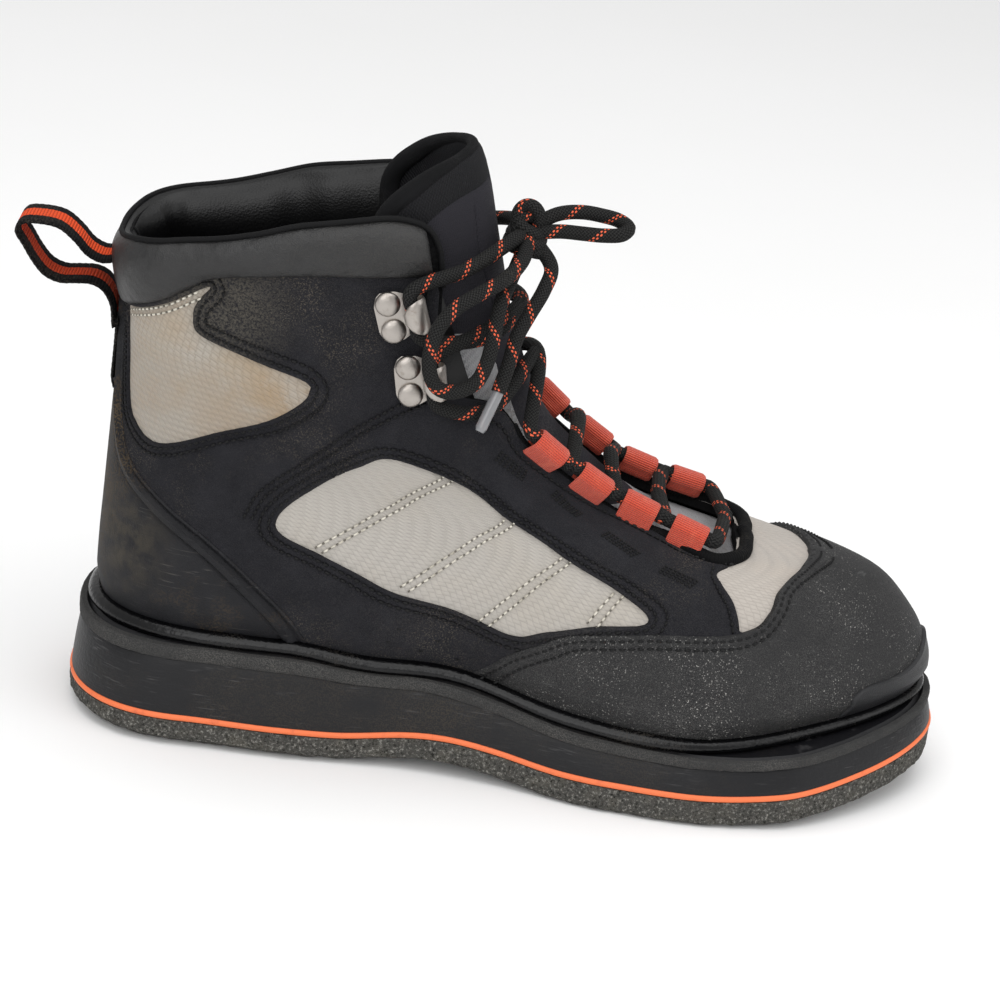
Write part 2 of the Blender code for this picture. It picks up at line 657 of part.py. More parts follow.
def make_bead(finish):
    """The bead that covers the seam between upper and midsole, half round outside."""
    count = SOLE_STATIONS + 8
    way = -1 + 2 * np.arange(count) / count
    direction = level_out(way, np.full(count, 0.5))
    section = ((0.00, 0.0), (0.20, 0.85), (0.70, 0.90), (1.00, 0.0))
    rows = []
    for share, reach in section:
        base = surface(way, np.full(count, share * BEAD_HEIGHT_LEVELS))
        row = base + direction * (FACET_GAP + BEAD_DEPTH * reach)
        row[:, 2] += seat(row[:, 0]) - seat(base[:, 0])
        rows.append(row)
    faces = []
    for r in range(len(section)):
        low, high = r * count, ((r + 1) % len(section)) * count
        for i in range(count):
            j = (i + 1) % count
            faces.append((low + i, low + j, high + j, high + i))
    add_object("welt_bead", mesh_from("welt_bead", np.vstack(rows), faces, 60.0), finish)


def make_overlays(finish):
    """Counter, cap, bumper, cuff and the two quarters, all raised from the upper's surface."""
    def overlay(name, rings, place, height, low=FACET_GAP, slot="leather"):
        shell(name, rings, UPPER_FACET, place, constant(low), constant(low + height),
              finish[slot])

    foot = BEAD_HEIGHT_LEVELS + BEAD_CLEARANCE
    counter = np.array(COUNTER_LINE)
    overlay("heel_counter", [ring_of(level_run(-counter[0, 0], counter[0, 0], foot, 15),
                                     counter[1:], (counter * (-1, 1))[::-1][:-1])],
            raised, OVERLAY)

    cap = to_ridge(np.array(CAP_LINE))
    overlay("toe_cap", [ring_of(level_run(-cap[0, 0], cap[0, 0], foot, 25),
                                cap[1:], (cap * (-1, 1))[::-1][1:-1])],
            from_ridge, OVERLAY)

    bumper = to_ridge(np.array(BUMPER_LINE))
    overlay("toe_bumper", [ring_of(level_run(-bumper[0, 0], bumper[0, 0], foot, 13),
                                   bumper[1:], (bumper * (-1, 1))[::-1][1:-1])],
            from_ridge, BUMPER, OVERLAY + 2 * FACET_GAP + GAP / 2, "rubber")

    cuff = np.array(CUFF_LINE)
    collar = np.array(COLLAR_LINE) - (0.012, 0.06)
    collar[0, 0] = 0
    collar = collar[collar[:, 0] >= 0]
    half = np.vstack([cuff, collar[::-1]])
    overlay("collar_cuff", [ring_of(half, (half * (-1, 1))[::-1][1:-1])], raised, CUFF)

    quarter = quarter_outline(foot)
    windows = [np.array(ANKLE_WINDOW), np.array(SIDE_WINDOW)]
    for name, side in (("quarter_lateral", -1), ("quarter_medial", 1)):
        rings = [to_ridge(ring) * (side, 1) for ring in (quarter, *windows)]
        overlay(name, rings, from_ridge, OVERLAY)


def quarter_outline(foot):
    """Outline of one quarter: between counter, cap, cuff and throat, with the eyestay's end."""
    apart = np.array(SEAM)
    heel = np.array(COUNTER_LINE) + (apart[0], 0)
    cap = np.array([row for row in CAP_LINE if row[0] < EYESTAY_END[0][0]])
    cap = cap + (-apart[0], apart[1])
    stay = np.array(EYESTAY_END)
    throat = np.array(THROAT_LINE)
    inner = throat - (0.008, 0.0)
    low = throat[:, 1] < 5.95
    inner[low] = throat[low] - (0.0, 0.05)
    inner = inner[inner[:, 1] < CUFF_LINE[-1][1] - 3 * apart[1]]
    middle = 1 - 0.5 * apart[0]
    stay = np.vstack([stay[stay[:, 0] < middle], (middle, EYESTAY_END[-1][1])])
    inner = np.vstack([inner[inner[:, 0] < middle], (middle, THROAT_LINE[-1][1] - 0.05)])
    cuff = np.array(CUFF_LINE) - (0, apart[1])
    cuff = cuff[(cuff[:, 0] > heel[-1, 0]) & (cuff[:, 0] < inner[0, 0] - apart[0])]
    heel = heel[heel[:, 1] < 9.0]
    bottom = level_run(heel[0, 0], cap[0, 0], foot, 5)
    return ring_of(bottom, cap[1:], stay, inner[::-1], cuff[::-1], heel[::-1][:-1])


def make_tongue(finish):
    """The padded tongue: under the facings at its edges, and up between them at its ridge."""
    tucked = UPPER_WALL + 4 * GAP

    def top(across, level):
        ridge = TONGUE_THICKNESS * table_curve(TONGUE_RIDGE, level)
        share = np.clip((np.abs(across) - 0.10) / 0.09, 0, 1)
        share = share * share * (3 - 2 * share)
        under_vamp = np.clip((6.9 - level) / 0.5, 0, 1)
        share = np.maximum(share, under_vamp)
        return -(ridge * (1 - share) + np.maximum(ridge, tucked) * share)

    def bottom(across, level):
        share = np.clip((np.abs(across) - 0.20) / 0.15, 0, 1)
        return top(across, level) - (TONGUE_THICKNESS * (1 - share) + TONGUE_EDGE * share)

    half = np.array(TONGUE_EDGE_LINE)
    ring = ring_of(half, (half * (-1, 1))[::-1][1:-1])
    shell("tongue", [ring], TONGUE_FACET, from_ridge, bottom, top, finish)


def axes_at(way, level, height):
    """Place and axes on the upper: round the boot towards the toe, up along it, and outward."""
    way, level = float(way), float(level)
    centre = raised(np.array([way]), np.array([level]), np.array([height]))[0]
    out = outward(np.array([way]), np.array([level]))[0]
    return Vector(centre), Vector(out)


def seated(origin, toward, out):
    """A frame whose x points along `toward` in the surface, z outward, y across both."""
    out = out.normalized()
    toward = (toward - out * toward.dot(out)).normalized()
    return Matrix.Translation(origin) @ Matrix((toward, out.cross(toward), out)).transposed().to_4x4()


def extruded(name, section, hole, width, frame, finish):
    """A band of the given width (along y) with a section in x and z, and a hole through it."""
    work = bmesh.new()
    rings = []
    for y in (-width / 2, width / 2):
        rings.append([[work.verts.new(frame @ Vector((x, y, z))) for x, z in line]
                      for line in ([section, hole] if hole else [section])])
    for near, far in zip(*rings):
        for i in range(len(near)):
            j = (i + 1) % len(near)
            work.faces.new((near[i], near[j], far[j], far[i]))
    for lines in rings:
        edges = [work.edges.get((line[i], line[(i + 1) % len(line)]))
                 for line in lines for i in range(len(line))]
        bmesh.ops.triangle_fill(work, use_beauty=True, edges=edges)
    bmesh.ops.recalc_face_normals(work, faces=work.faces)
    mesh = bpy.data.meshes.new(name)
    work.to_mesh(mesh)
    work.free()
    mesh.shade_smooth()
    mesh.set_sharp_from_angle(angle=math.radians(40))
    return add_object(name, mesh, finish)


def arc(cx, cz, radius, start, end, count):
    angles = np.radians(np.linspace(start, end, count))
    return [(cx + radius * math.cos(a), cz + radius * math.sin(a)) for a in angles]


def throat_point(level):
    """(round) of the throat's edge at a level, between the eyestay's top and its end."""
    rows = sorted((row[1], row[0]) for row in THROAT_LINE if row[0] < 0.82 and 5.7 < row[1] < 8.6)
    return float(table_curve(rows, level))


def loop_frame(side, level):
    way = throat_point(level) * side
    origin, out = axes_at(way, level, SEWN)
    above = surface(np.array([throat_point(level + 0.2) * side]), np.array([level + 0.2]))[0]
    below = surface(np.array([throat_point(level - 0.2) * side]), np.array([level - 0.2]))[0]
    along = Vector(above - below)
    toward = along.cross(out) * (1 if side < 0 else -1)
    if toward.y * side > 0:
        toward = -toward
    return seated(origin, toward, out)


EYE = LACE / 2 + LACE_CLEARANCE
SEWN = OVERLAY + FACET_GAP + 4.7 * GAP
EYE_LIFT = 0.0004 + WEBBING + EYE


def make_loops(finish):
    """Webbing folded round the lace and sewn flat to the eyestay, four a side."""
    outer = EYE + WEBBING
    section = [(-LOOP_FOOT, EYE_LIFT - outer), *arc(0, EYE_LIFT, outer, -90, 90, 6),
               (-outer * 0.9, EYE_LIFT + outer * 0.25),
               (-outer * 1.45, EYE_LIFT - outer + 2.1 * WEBBING),
               (-LOOP_FOOT, EYE_LIFT - outer + 2.0 * WEBBING)]
    hole = arc(0, EYE_LIFT, EYE, -100, 100, 6) + [(-EYE * 0.75, EYE_LIFT + EYE * 0.45),
                                                  (-EYE * 1.15, EYE_LIFT - EYE * 0.25)]
    for side, word in ((-1, "lateral"), (1, "medial")):
        for number, level in enumerate(LOOP_LEVELS, 1):
            extruded(f"lace_loop_{word}_{number}", section, hole, LOOP_WIDTH,
                     loop_frame(side, level), finish)


def hook_frame(side, place):
    way, level = place[0] * side, place[1]
    origin, out = axes_at(way, level, SEWN + 0.0003)
    ahead = Vector(surface(np.array([way + 0.01 * side]), np.array([level]))[0])
    behind = Vector(surface(np.array([way - 0.01 * side]), np.array([level]))[0])
    return seated(origin, ahead - behind, out)


def ribbon(name, line, side, widths, thickness, finish):
    """A flat band along the line, `side` pointing across it, with a width at each point."""
    line = np.asarray(line, float)
    side = np.asarray(side, float)
    tangent = np.gradient(line, axis=0)
    out = np.cross(tangent, side)
    out /= np.linalg.norm(out, axis=1)[:, None]
    points, faces = [], []
    for place, face_out, width in zip(line, out, widths):
        for y, n in ((-1, -1), (1, -1), (1, 1), (-1, 1)):
            points.append(place + side * (width / 2) * y + face_out * (thickness / 2) * n)
    for i in range(len(line) - 1):
        for k in range(4):
            a, b = i * 4 + k, i * 4 + (k + 1) % 4
            faces.append((a, b, b + 4, a + 4))
    faces += [(3, 2, 1, 0), tuple(len(points) - 4 + k for k in range(4))]
    add_object(name, mesh_from(name, points, faces), finish)


def make_hooks(finish):
    """Bent plates, open at the back, each held by two domed rivets."""
    base = RIVET_SPACING + RIVET_DIAMETER
    bend = EYE + HOOK_GAUGE / 2
    middle = HOOK_GAUGE / 2
    section = [(-RIVET_DIAMETER * 0.56, middle), (HOOK_REACH * 0.45, middle),
               *arc(HOOK_REACH, middle + bend, bend, -90, 115, 8)]
    widths = [base, base] + [HOOK_WIDTH] * 7 + [HOOK_WIDTH * 0.8]
    for side, word in ((-1, "lateral"), (1, "medial")):
        for number, place in enumerate(HOOKS, 1):
            frame = hook_frame(side, place)
            line = [frame @ Vector((x, 0, z)) for x, z in section]
            ribbon(f"speed_hook_{word}_{number}", line, frame.to_3x3() @ Vector((0, 1, 0)),
                   widths, HOOK_GAUGE, finish)
            for half, letter in ((-1, "a"), (1, "b")):
                spot = frame @ Matrix.Translation((0, half * RIVET_SPACING / 2, HOOK_GAUGE + GAP))
                add_rivet(f"rivet_{word}_{number}{letter}", spot, finish)


def add_rivet(name, frame, finish):
    sides = 10
    radius = RIVET_DIAMETER / 2
    profile = ((1.0, 0.0), (1.0, 0.35), (0.62, 0.85))
    work = bmesh.new()
    rings = [[work.verts.new(frame @ Vector((radius * r * math.cos(a), radius * r * math.sin(a),
                                             RIVET_HEIGHT * h)))
              for a in (2 * math.pi * i / sides for i in range(sides))] for r, h in profile]
    for low, high in zip(rings, rings[1:]):
        for i in range(sides):
            j = (i + 1) % sides
            work.faces.new((low[i], low[j], high[j], high[i]))
    crown = work.verts.new(frame @ Vector((0, 0, RIVET_HEIGHT)))
    for i in range(sides):
        work.faces.new((rings[-1][i], rings[-1][(i + 1) % sides], crown))
    work.faces.new(rings[0][::-1])
    bmesh.ops.recalc_face_normals(work, faces=work.faces)
    mesh = bpy.data.meshes.new(name)
    work.to_mesh(mesh)
    work.free()
    mesh.shade_smooth()
    mesh.set_sharp_from_angle(angle=math.radians(50))
    add_object(name, mesh, finish)


def thinned(line, spacing):
    """The line without the points that crowd the one before."""
    kept = [line[0]]
    for point in line[1:-1]:
        if np.linalg.norm(point - kept[-1]) > spacing:
            kept.append(point)
    if np.linalg.norm(line[-1] - kept[-1]) < spacing * 0.6:
        kept.pop()
    return np.array([*kept, line[-1]])


def tube(name, route, finish, diameter=LACE, sparse=False):
    """A round cord along a smooth line through the route's points."""
    if sparse:
        line = thinned(flowing(route, 2), 0.7 * diameter)
    else:
        line = evenly(flowing(route, 8), 2 * diameter)
    data = bpy.data.curves.new(name, "CURVE")
    data.dimensions = "3D"
    data.bevel_depth = diameter / 2
    data.bevel_resolution = 2
    data.use_fill_caps = True
    spline = data.splines.new("POLY")
    spline.points.add(len(line) - 1)
    for point, place in zip(spline.points, line):
        point.co = (*place, 1)
    made = bpy.data.objects.new(name, data)
    data.materials.append(finish)
    bpy.context.scene.collection.objects.link(made)
    return made


def through_loop(side, number):
    """Points through a lace loop, along the throat and upward."""
    frame = loop_frame(side, LOOP_LEVELS[number])
    reach = LOOP_WIDTH / 2
    ends = [frame @ Vector((0, y * reach, EYE_LIFT)) for y in (-1.45, -1.15, 1.15, 1.45)]
    return sorted(ends, key=lambda point: point.z)


def round_hook(side, number):
    """Points behind a hook's curl, going up."""
    frame = hook_frame(side, HOOKS[number])
    reach = HOOK_WIDTH / 2
    ends = [frame @ Vector((HOOK_REACH, y * reach, EYE + HOOK_GAUGE)) for y in (-1.3, 0, 1.3)]
    return sorted(ends, key=lambda point: point.z)


def over(way, level, height):
    return Vector(raised(np.array([way]), np.array([level]), np.array([height]))[0])


def from_knot(away):
    """Where a cord starts that leaves the knot in the given direction, slanting a little."""
    away = Vector(away).normalized()
    reach = 1 / math.sqrt(sum((2 * part / size) ** 2 for part, size in zip(away, KNOT_SIZE)))
    return Vector(KNOT_CENTRE) + away * (reach + 3.2 * GAP)


def lace_route(side):
    """One half of the lace, from the bar at the throat's end up to the knot."""
    route = [over(1.0, 6.42, 0.0046) + Vector((0, -side * LACE * 0.2, 0))]
    bias = side * GAP
    for number in (3, 2, 1, 0):
        route += through_loop(side, number)
        if number:
            between = (LOOP_LEVELS[number] + LOOP_LEVELS[number - 1]) / 2
            route.append(over(1.0, between + RIDGE_LEAD, 0.0036 + bias))
        else:
            route.append(over(1.0, 9.62, 0.0011 + bias))
        side = -side
    route.append(over(0.722 * side, 9.08, 0.0074))
    route += round_hook(side, 1)
    route.append(over(0.78 * side, 10.10, 0.0048))
    route.append(over(1.0, 10.25, 0.0010 + bias))
    side = -side
    route.append(over(0.78 * side, 10.02, 0.0048))
    route += round_hook(side, 0)
    route.append(over(0.78 * side, 11.02, 0.0050))
    last = over(0.93 * side, 11.20, 0.0062)
    return [*route, last, from_knot(last - Vector(KNOT_CENTRE))]


def make_laces(finish):
    first = tube("lace_crossings", lace_route(-1), finish, sparse=True)
    second = tube("lace_other_half", lace_route(1), finish, sparse=True)
    halves = []
    graph = bpy.context.evaluated_depsgraph_get()
    for half in (first, second):
        mesh = bpy.data.meshes.new_from_object(half.evaluated_get(graph))
        bpy.data.objects.remove(half, do_unlink=True)
        mesh.materials.clear()
        halves.append(mesh)
    laced = add_object("lace_crossings", halves[0], finish)
    other = add_object("lace_other_half", halves[1], finish)
    other.hide_render = True
    other.display_type = "WIRE"
    join = laced.modifiers.new("joined where they cross", "BOOLEAN")
    join.operation = "UNION"
    join.object = other


def make_cords(finish, tip_finish):
    work = bmesh.new()
    bmesh.ops.create_uvsphere(work, u_segments=12, v_segments=8, radius=0.5)
    bmesh.ops.scale(work, vec=KNOT_SIZE, verts=work.verts)
    bmesh.ops.translate(work, vec=KNOT_CENTRE, verts=work.verts)
    mesh = bpy.data.meshes.new("lace_knot")
    work.to_mesh(mesh)
    work.free()
    mesh.shade_smooth()
    add_object("lace_knot", mesh, finish)
    tube("lace_bow_left",
         [from_knot(TO_BOW_LEFT), *BOW_LEFT, from_knot(FROM_BOW_LEFT)], finish)
    tube("lace_bow_right",
         [from_knot(TO_BOW_RIGHT), *BOW_RIGHT, from_knot(FROM_BOW_RIGHT)], finish)
    tube("lace_end", [from_knot(TO_FREE_END), *FREE_END], finish)
    start, end = Vector(FREE_END[-1]), Vector(AGLET_END)
    step = (end - start).normalized()
    tube("aglet", [start + step * GAP * 1.5, start.lerp(end, 0.5), end], tip_finish,
         diameter=LACE * 0.78)


def make_pull_loop(finish):
    """Webbing folded into a finger loop behind the heel and sewn down the back."""
    back = [over(0.0, level, OVERLAY + 2 * FACET_GAP + PULL_THICKNESS / 2)
            for level in (8.6, 7.8, 7.0, 6.2)]
    cuff = over(0.0, 10.6, FACET_GAP + CUFF + 2 * GAP)
    line = evenly(flowing([cuff, *PULL_ROUTE, *back], 4), 0.0050)
    ribbon("pull_loop", line, (0.0, 1.0, 0.0), [PULL_WIDTH] * len(line), PULL_THICKNESS, finish)


def build():
    clear_scene()
    felt = material("felt", (0.16, 0.15, 0.13), 0.95)
    orange = material("orange_rubber", (0.80, 0.19, 0.09), 0.55)
    rubber = material("sole_rubber", (0.045, 0.045, 0.047), 0.55)
    gloss = material("gloss_rubber", (0.02, 0.02, 0.022), 0.25)
    ripstop = material("ripstop", (0.50, 0.49, 0.45), 0.85)
    leather = material("synthetic_leather", (0.045, 0.045, 0.05), 0.70)
    lining = material("lining", (0.03, 0.03, 0.033), 0.60)
    foam = material("insole_foam", (0.06, 0.06, 0.06), 0.90)
    webbing = material("orange_webbing", (0.85, 0.16, 0.06), 0.80)
    strap = material("black_webbing", (0.03, 0.03, 0.03), 0.85)
    steel = material("nickel", (0.62, 0.60, 0.58), 0.30, 1.0)
    cord = material("black_cord", (0.03, 0.03, 0.03), 0.80)
    clear = material("clear_tip", (0.75, 0.76, 0.76), 0.20)
    make_felt(felt)
    make_stripe(orange)
    make_midsole(rubber)
    make_upper(ripstop)
    make_insole(foam)
    make_bead(gloss)
    make_tongue(lining)
    make_overlays({"leather": leather, "rubber": rubber})
    make_loops(webbing)
    make_hooks(steel)
    make_laces(cord)
    make_cords(cord, clear)
    make_pull_loop(strap)
    for thing in bpy.data.objects:
        thing.location.x = -HEEL_REST * SOLE_LENGTH


build()
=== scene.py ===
import math

import bmesh
import bpy
import numpy as np
from mathutils import Matrix, Vector, noise
from mathutils.geometry import delaunay_2d_cdt


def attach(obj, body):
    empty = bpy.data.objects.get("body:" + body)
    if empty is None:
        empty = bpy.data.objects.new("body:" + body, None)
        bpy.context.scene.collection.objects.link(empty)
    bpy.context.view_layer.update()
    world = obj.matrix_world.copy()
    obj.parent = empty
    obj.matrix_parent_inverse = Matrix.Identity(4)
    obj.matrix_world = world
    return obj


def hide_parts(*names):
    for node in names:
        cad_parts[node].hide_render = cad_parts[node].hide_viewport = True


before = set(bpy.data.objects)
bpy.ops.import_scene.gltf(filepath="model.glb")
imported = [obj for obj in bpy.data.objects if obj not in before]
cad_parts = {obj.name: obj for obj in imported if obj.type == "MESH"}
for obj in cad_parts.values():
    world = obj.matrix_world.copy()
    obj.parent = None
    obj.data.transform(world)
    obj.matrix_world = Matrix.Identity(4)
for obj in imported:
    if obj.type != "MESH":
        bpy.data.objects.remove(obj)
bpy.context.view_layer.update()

# ---------------------------------------------------------------------------------------------
# The studio: a pale floor that runs out of sight, white light from all round, two large soft
# boxes above the boot and in front of it, and the camera at the photograph's angle.
# ---------------------------------------------------------------------------------------------
AIM = Vector((0.1038, 0.0, 0.090))
AZIMUTH, ELEVATION, ROLL = math.radians(-1.1), math.radians(23.0), math.radians(6.5)
DISTANCE = 1.159


def screen(red, green, blue):
    """A colour given in screen values from 0 to 255, as the renderer counts it."""
    return tuple((part / 255) ** 2.2 for part in (red, green, blue)) + (1.0,)


def wire(tree, kind, sockets=None, **settings):
    """Add a node, set what is fixed on it and link what comes from other nodes."""
    node = tree.nodes.new("ShaderNode" + kind)
    for word, value in settings.items():
        setattr(node, word, value)
    for place, value in (sockets or {}).items():
        if isinstance(value, bpy.types.NodeSocket):
            tree.links.new(value, node.inputs[place])
        else:
            node.inputs[place].default_value = value
    return node


def new_finish(name, colour, roughness, **fixed):
    """A material with its shader's fixed values set: returns it, its nodes and the shader."""
    made = bpy.data.materials.new(name)
    made.use_nodes = True
    shader = made.node_tree.nodes["Principled BSDF"]
    shader.inputs["Base Color"].default_value = colour
    shader.inputs["Roughness"].default_value = roughness
    for word, value in fixed.items():
        shader.inputs[word.replace("_", " ")].default_value = value
    return made, made.node_tree, shader


def take_over(tree, place, node, entry, result):
    """Feed a shader's socket from a node, which takes in what fed the socket before."""
    if place.links:
        tree.links.new(place.links[0].from_socket, node.inputs[entry])
    tree.links.new(node.outputs[result], place)


def tint(tree, shader, mask, colour):
    """Lay another colour over the shader's, where the mask is high."""
    place = shader.inputs["Base Color"]
    mix = wire(tree, "Mix", {0: mask, 6: place.default_value, 7: colour}, data_type="RGBA")
    take_over(tree, place, mix, 6, 2)


def between(tree, value, low, high):
    """0 below low, 1 above high and a smooth rise from one to the other."""
    made = wire(tree, "MapRange", {"Value": value, "From Min": low, "From Max": high},
                interpolation_type="SMOOTHSTEP")
    return made.outputs["Result"]


def clouds(tree, place, scale, detail, roughness=0.5):
    return wire(tree, "TexNoise", {"Vector": place, "Scale": scale, "Detail": detail,
                                   "Roughness": roughness}).outputs["Fac"]


def mottle(tree, size, detail=4.0, roughness=0.6):
    """Cloudy noise fixed to the object, with lumps of about the size given in metres."""
    return clouds(tree, wire(tree, "TexCoord").outputs["Object"], 1 / size, detail, roughness)


def patched(tree, shader, size, low, high, colour, detail=4.0):
    """Let the colour wander to another in soft patches of about the size given in metres."""
    tint(tree, shader, between(tree, mottle(tree, size, detail), low, high), colour)


back = Vector((math.sin(AZIMUTH) * math.cos(ELEVATION), -math.cos(AZIMUTH) * math.cos(ELEVATION),
               math.sin(ELEVATION)))
level_right = (-back).cross(Vector((0, 0, 1))).normalized()
level_up = level_right.cross(-back)
right = level_right * math.cos(ROLL) + level_up * math.sin(ROLL)
up = level_up * math.cos(ROLL) - level_right * math.sin(ROLL)
camera = bpy.data.objects.new("camera", bpy.data.cameras.new("camera"))
camera.data.lens = 114.56
camera.data.sensor_width = 36.0
camera.data.clip_end = 20.0
camera.matrix_world = (Matrix.Translation(AIM + back * DISTANCE)
                       @ Matrix((right, up, back)).transposed().to_4x4())
bpy.context.scene.collection.objects.link(camera)
bpy.context.scene.camera = camera
bpy.context.scene.view_settings.view_transform = "Standard"

for name, place, size, power in (("top box", (0.15, -0.25, 1.5), 1.6, 13.0),
                                 ("front box", (-0.35, -1.5, 0.95), 1.2, 9.0),
                                 ("side box", (1.5, -0.5, 0.8), 1.0, 4.0)):
    lamp = bpy.data.lights.new(name, "AREA")
    lamp.size = size
    lamp.energy = power
    box = bpy.data.objects.new(name, lamp)
    box.location = place
    box.rotation_euler = (AIM - Vector(place)).to_track_quat("-Z", "Y").to_euler()
    bpy.context.scene.collection.objects.link(box)

world = bpy.data.worlds.new("studio")
world.use_nodes = True
world.node_tree.nodes["Background"].inputs["Color"].default_value = (1.0, 1.0, 1.0, 1.0)
world.node_tree.nodes["Background"].inputs["Strength"].default_value = 0.62
bpy.context.scene.world = world

floor_mesh = bpy.data.meshes.new("floor")
floor_mesh.from_pydata([(-4, -4, 0), (4, -4, 0), (4, 4, 0), (-4, 4, 0)], [], [(0, 1, 2, 3)])
floor_finish, tree, shader = new_finish("studio floor", (0.97, 0.97, 0.97, 1.0), 0.9)
patched(tree, shader, 0.5, 0.3, 0.8, (0.95, 0.95, 0.945, 1.0))
floor_mesh.materials.append(floor_finish)
floor = bpy.data.objects.new("floor", floor_mesh)
bpy.context.scene.collection.objects.link(floor)

# ---------------------------------------------------------------------------------------------
# The felt outsole: a slab of pressed grey felt about 10 mm thick, cut to the sole's outline and
# cemented on; walking has rounded its lower edge, most of all at the heel.
# ---------------------------------------------------------------------------------------------
SOLE_LENGTH = 0.320
HEEL_REST = 0.150 * SOLE_LENGTH
HEEL_WIDTH = 0.092
WAIST_WIDTH = 0.0865
BALL_WIDTH = 0.1235
TOE_WIDTH = 0.108
FELT_THICKNESS = 0.0100
FELT_BEVEL = 0.0055
TOE_SPRING = 0.0114
ARCH_RISE = 0.0040
HEEL_FLAT_END = 0.300
BALL_FLAT_START = 0.580
BALL_FLAT_END = 0.703
HEEL_ROUND = 0.144
TOE_ROUND = 0.200
STATIONS = 420

# Plan of the sole: how far along, the width there, and the shares of it on each side of y = 0.
SOLE_PLAN = (
    # along, width, lateral, medial
    (0.000, HEEL_WIDTH, 0.500, 0.500),
    (0.140, HEEL_WIDTH, 0.500, 0.500),
    (0.250, HEEL_WIDTH, 0.520, 0.485),
    (0.375, WAIST_WIDTH, 0.540, 0.455),
    (0.500, WAIST_WIDTH, 0.600, 0.490),
    (0.620, BALL_WIDTH, 0.505, 0.420),
    (0.725, BALL_WIDTH, 0.534, 0.458),
    (0.820, BALL_WIDTH, 0.505, 0.463),
    (0.910, TOE_WIDTH, 0.485, 0.455),
    (1.000, TOE_WIDTH, 0.400, 0.400),
)
# How far the worn edge of the felt stands above the floor, in shares of the felt's thickness.
FELT_EDGE = ((0.00, 0.44), (0.08, 0.30), (0.30, 0.24), (0.45, 0.16), (0.62, 0.08), (1.00, 0.08))


def curve_through(places, values, at):
    """Read the curve that runs through (places, values) without overshooting them."""
    places, values = np.asarray(places, float), np.asarray(values, float)
    step = np.diff(places)
    rise = np.diff(values, axis=-1) / step
    slope = np.zeros_like(values)
    for i in range(1, len(places) - 1):
        before, after = rise[..., i - 1], rise[..., i]
        turns = before * after <= 0
        first, second = 2 * step[i] + step[i - 1], step[i] + 2 * step[i - 1]
        mean = (first + second) / (first / np.where(turns, 1, before)
                                   + second / np.where(turns, 1, after))
        slope[..., i] = np.where(turns, 0, mean)
    slope[..., -1] = rise[..., -1]
    at = np.clip(np.asarray(at, float), places[0], places[-1])
    i = np.clip(np.searchsorted(places, at, side="right") - 1, 0, len(places) - 2)
    width = step[i]
    t = (at - places[i]) / width

    def pick(grid, column):
        if grid.ndim == 1:
            return grid[column]
        return np.take_along_axis(grid, column[..., None], -1)[..., 0]
    return ((1 + 2 * t) * (1 - t) ** 2 * pick(values, i)
            + t * (1 - t) ** 2 * width * pick(slope, i)
            + t * t * (3 - 2 * t) * pick(values, i + 1)
            + t * t * (t - 1) * width * pick(slope, i + 1))


def table_curve(rows, at):
    return curve_through([row[0] for row in rows], [row[1] for row in rows], at)


def round_end(share, power):
    """1 inside, falling to 0 along a rounded end as share goes from 1 to 0."""
    return (1 - np.clip(1 - share, 0, 1) ** power) ** (1 / power)


def half_width(along, side):
    """Half width of the sole on one side (-1 lateral, +1 medial), without its rounded ends."""
    column = 2 if side < 0 else 3
    return curve_through([row[0] for row in SOLE_PLAN],
                         [row[1] * row[column] for row in SOLE_PLAN], along)


def sole_lift(x):
    """How far the sole's underside stands off the floor, x counted from the sole's rear."""
    along = np.asarray(x, float) / SOLE_LENGTH
    arch = np.clip((along - HEEL_FLAT_END) / (BALL_FLAT_START - HEEL_FLAT_END), 0, 1)
    toe = np.clip((along - BALL_FLAT_END) / (1 - BALL_FLAT_END), 0, 1)
    return ARCH_RISE * np.sin(math.pi * arch) ** 2 + TOE_SPRING * toe ** 2


def felt_edge(x):
    return sole_lift(x) + FELT_THICKNESS * table_curve(FELT_EDGE, np.asarray(x) / SOLE_LENGTH)


def felt_top(x):
    return sole_lift(x) + FELT_THICKNESS


def sole_ring(inset, height):
    """A ring round the sole, from the heel along the lateral side; height is a function of x."""
    angle = np.arange(STATIONS) / STATIONS * 2 * math.pi
    run = (1 - np.cos(angle)) / 2
    x = inset + run * (SOLE_LENGTH - 2 * inset)
    side = np.where(angle < math.pi, -1, 1)
    width = np.where(side < 0, half_width(x / SOLE_LENGTH, -1), half_width(x / SOLE_LENGTH, 1))
    ends = round_end(run / HEEL_ROUND, 2.3) * round_end((1 - run) / TOE_ROUND, 2.2)
    return np.stack([x, side * (width - inset) * ends, height(x)], -1)


# Without a seed of its own the noise would start somewhere else in each run.
noise.seed_set(1)


def ruffled(points, size, depth, seed=0.0):
    """The points moved a little by smooth noise, with lumps of the given size."""
    flat = np.asarray(points).reshape(-1, 3)
    moved = [noise.noise_vector(Vector(point) / size + Vector((seed, 0, 0))) for point in flat]
    return (flat + np.array(moved) * depth).reshape(np.shape(points))


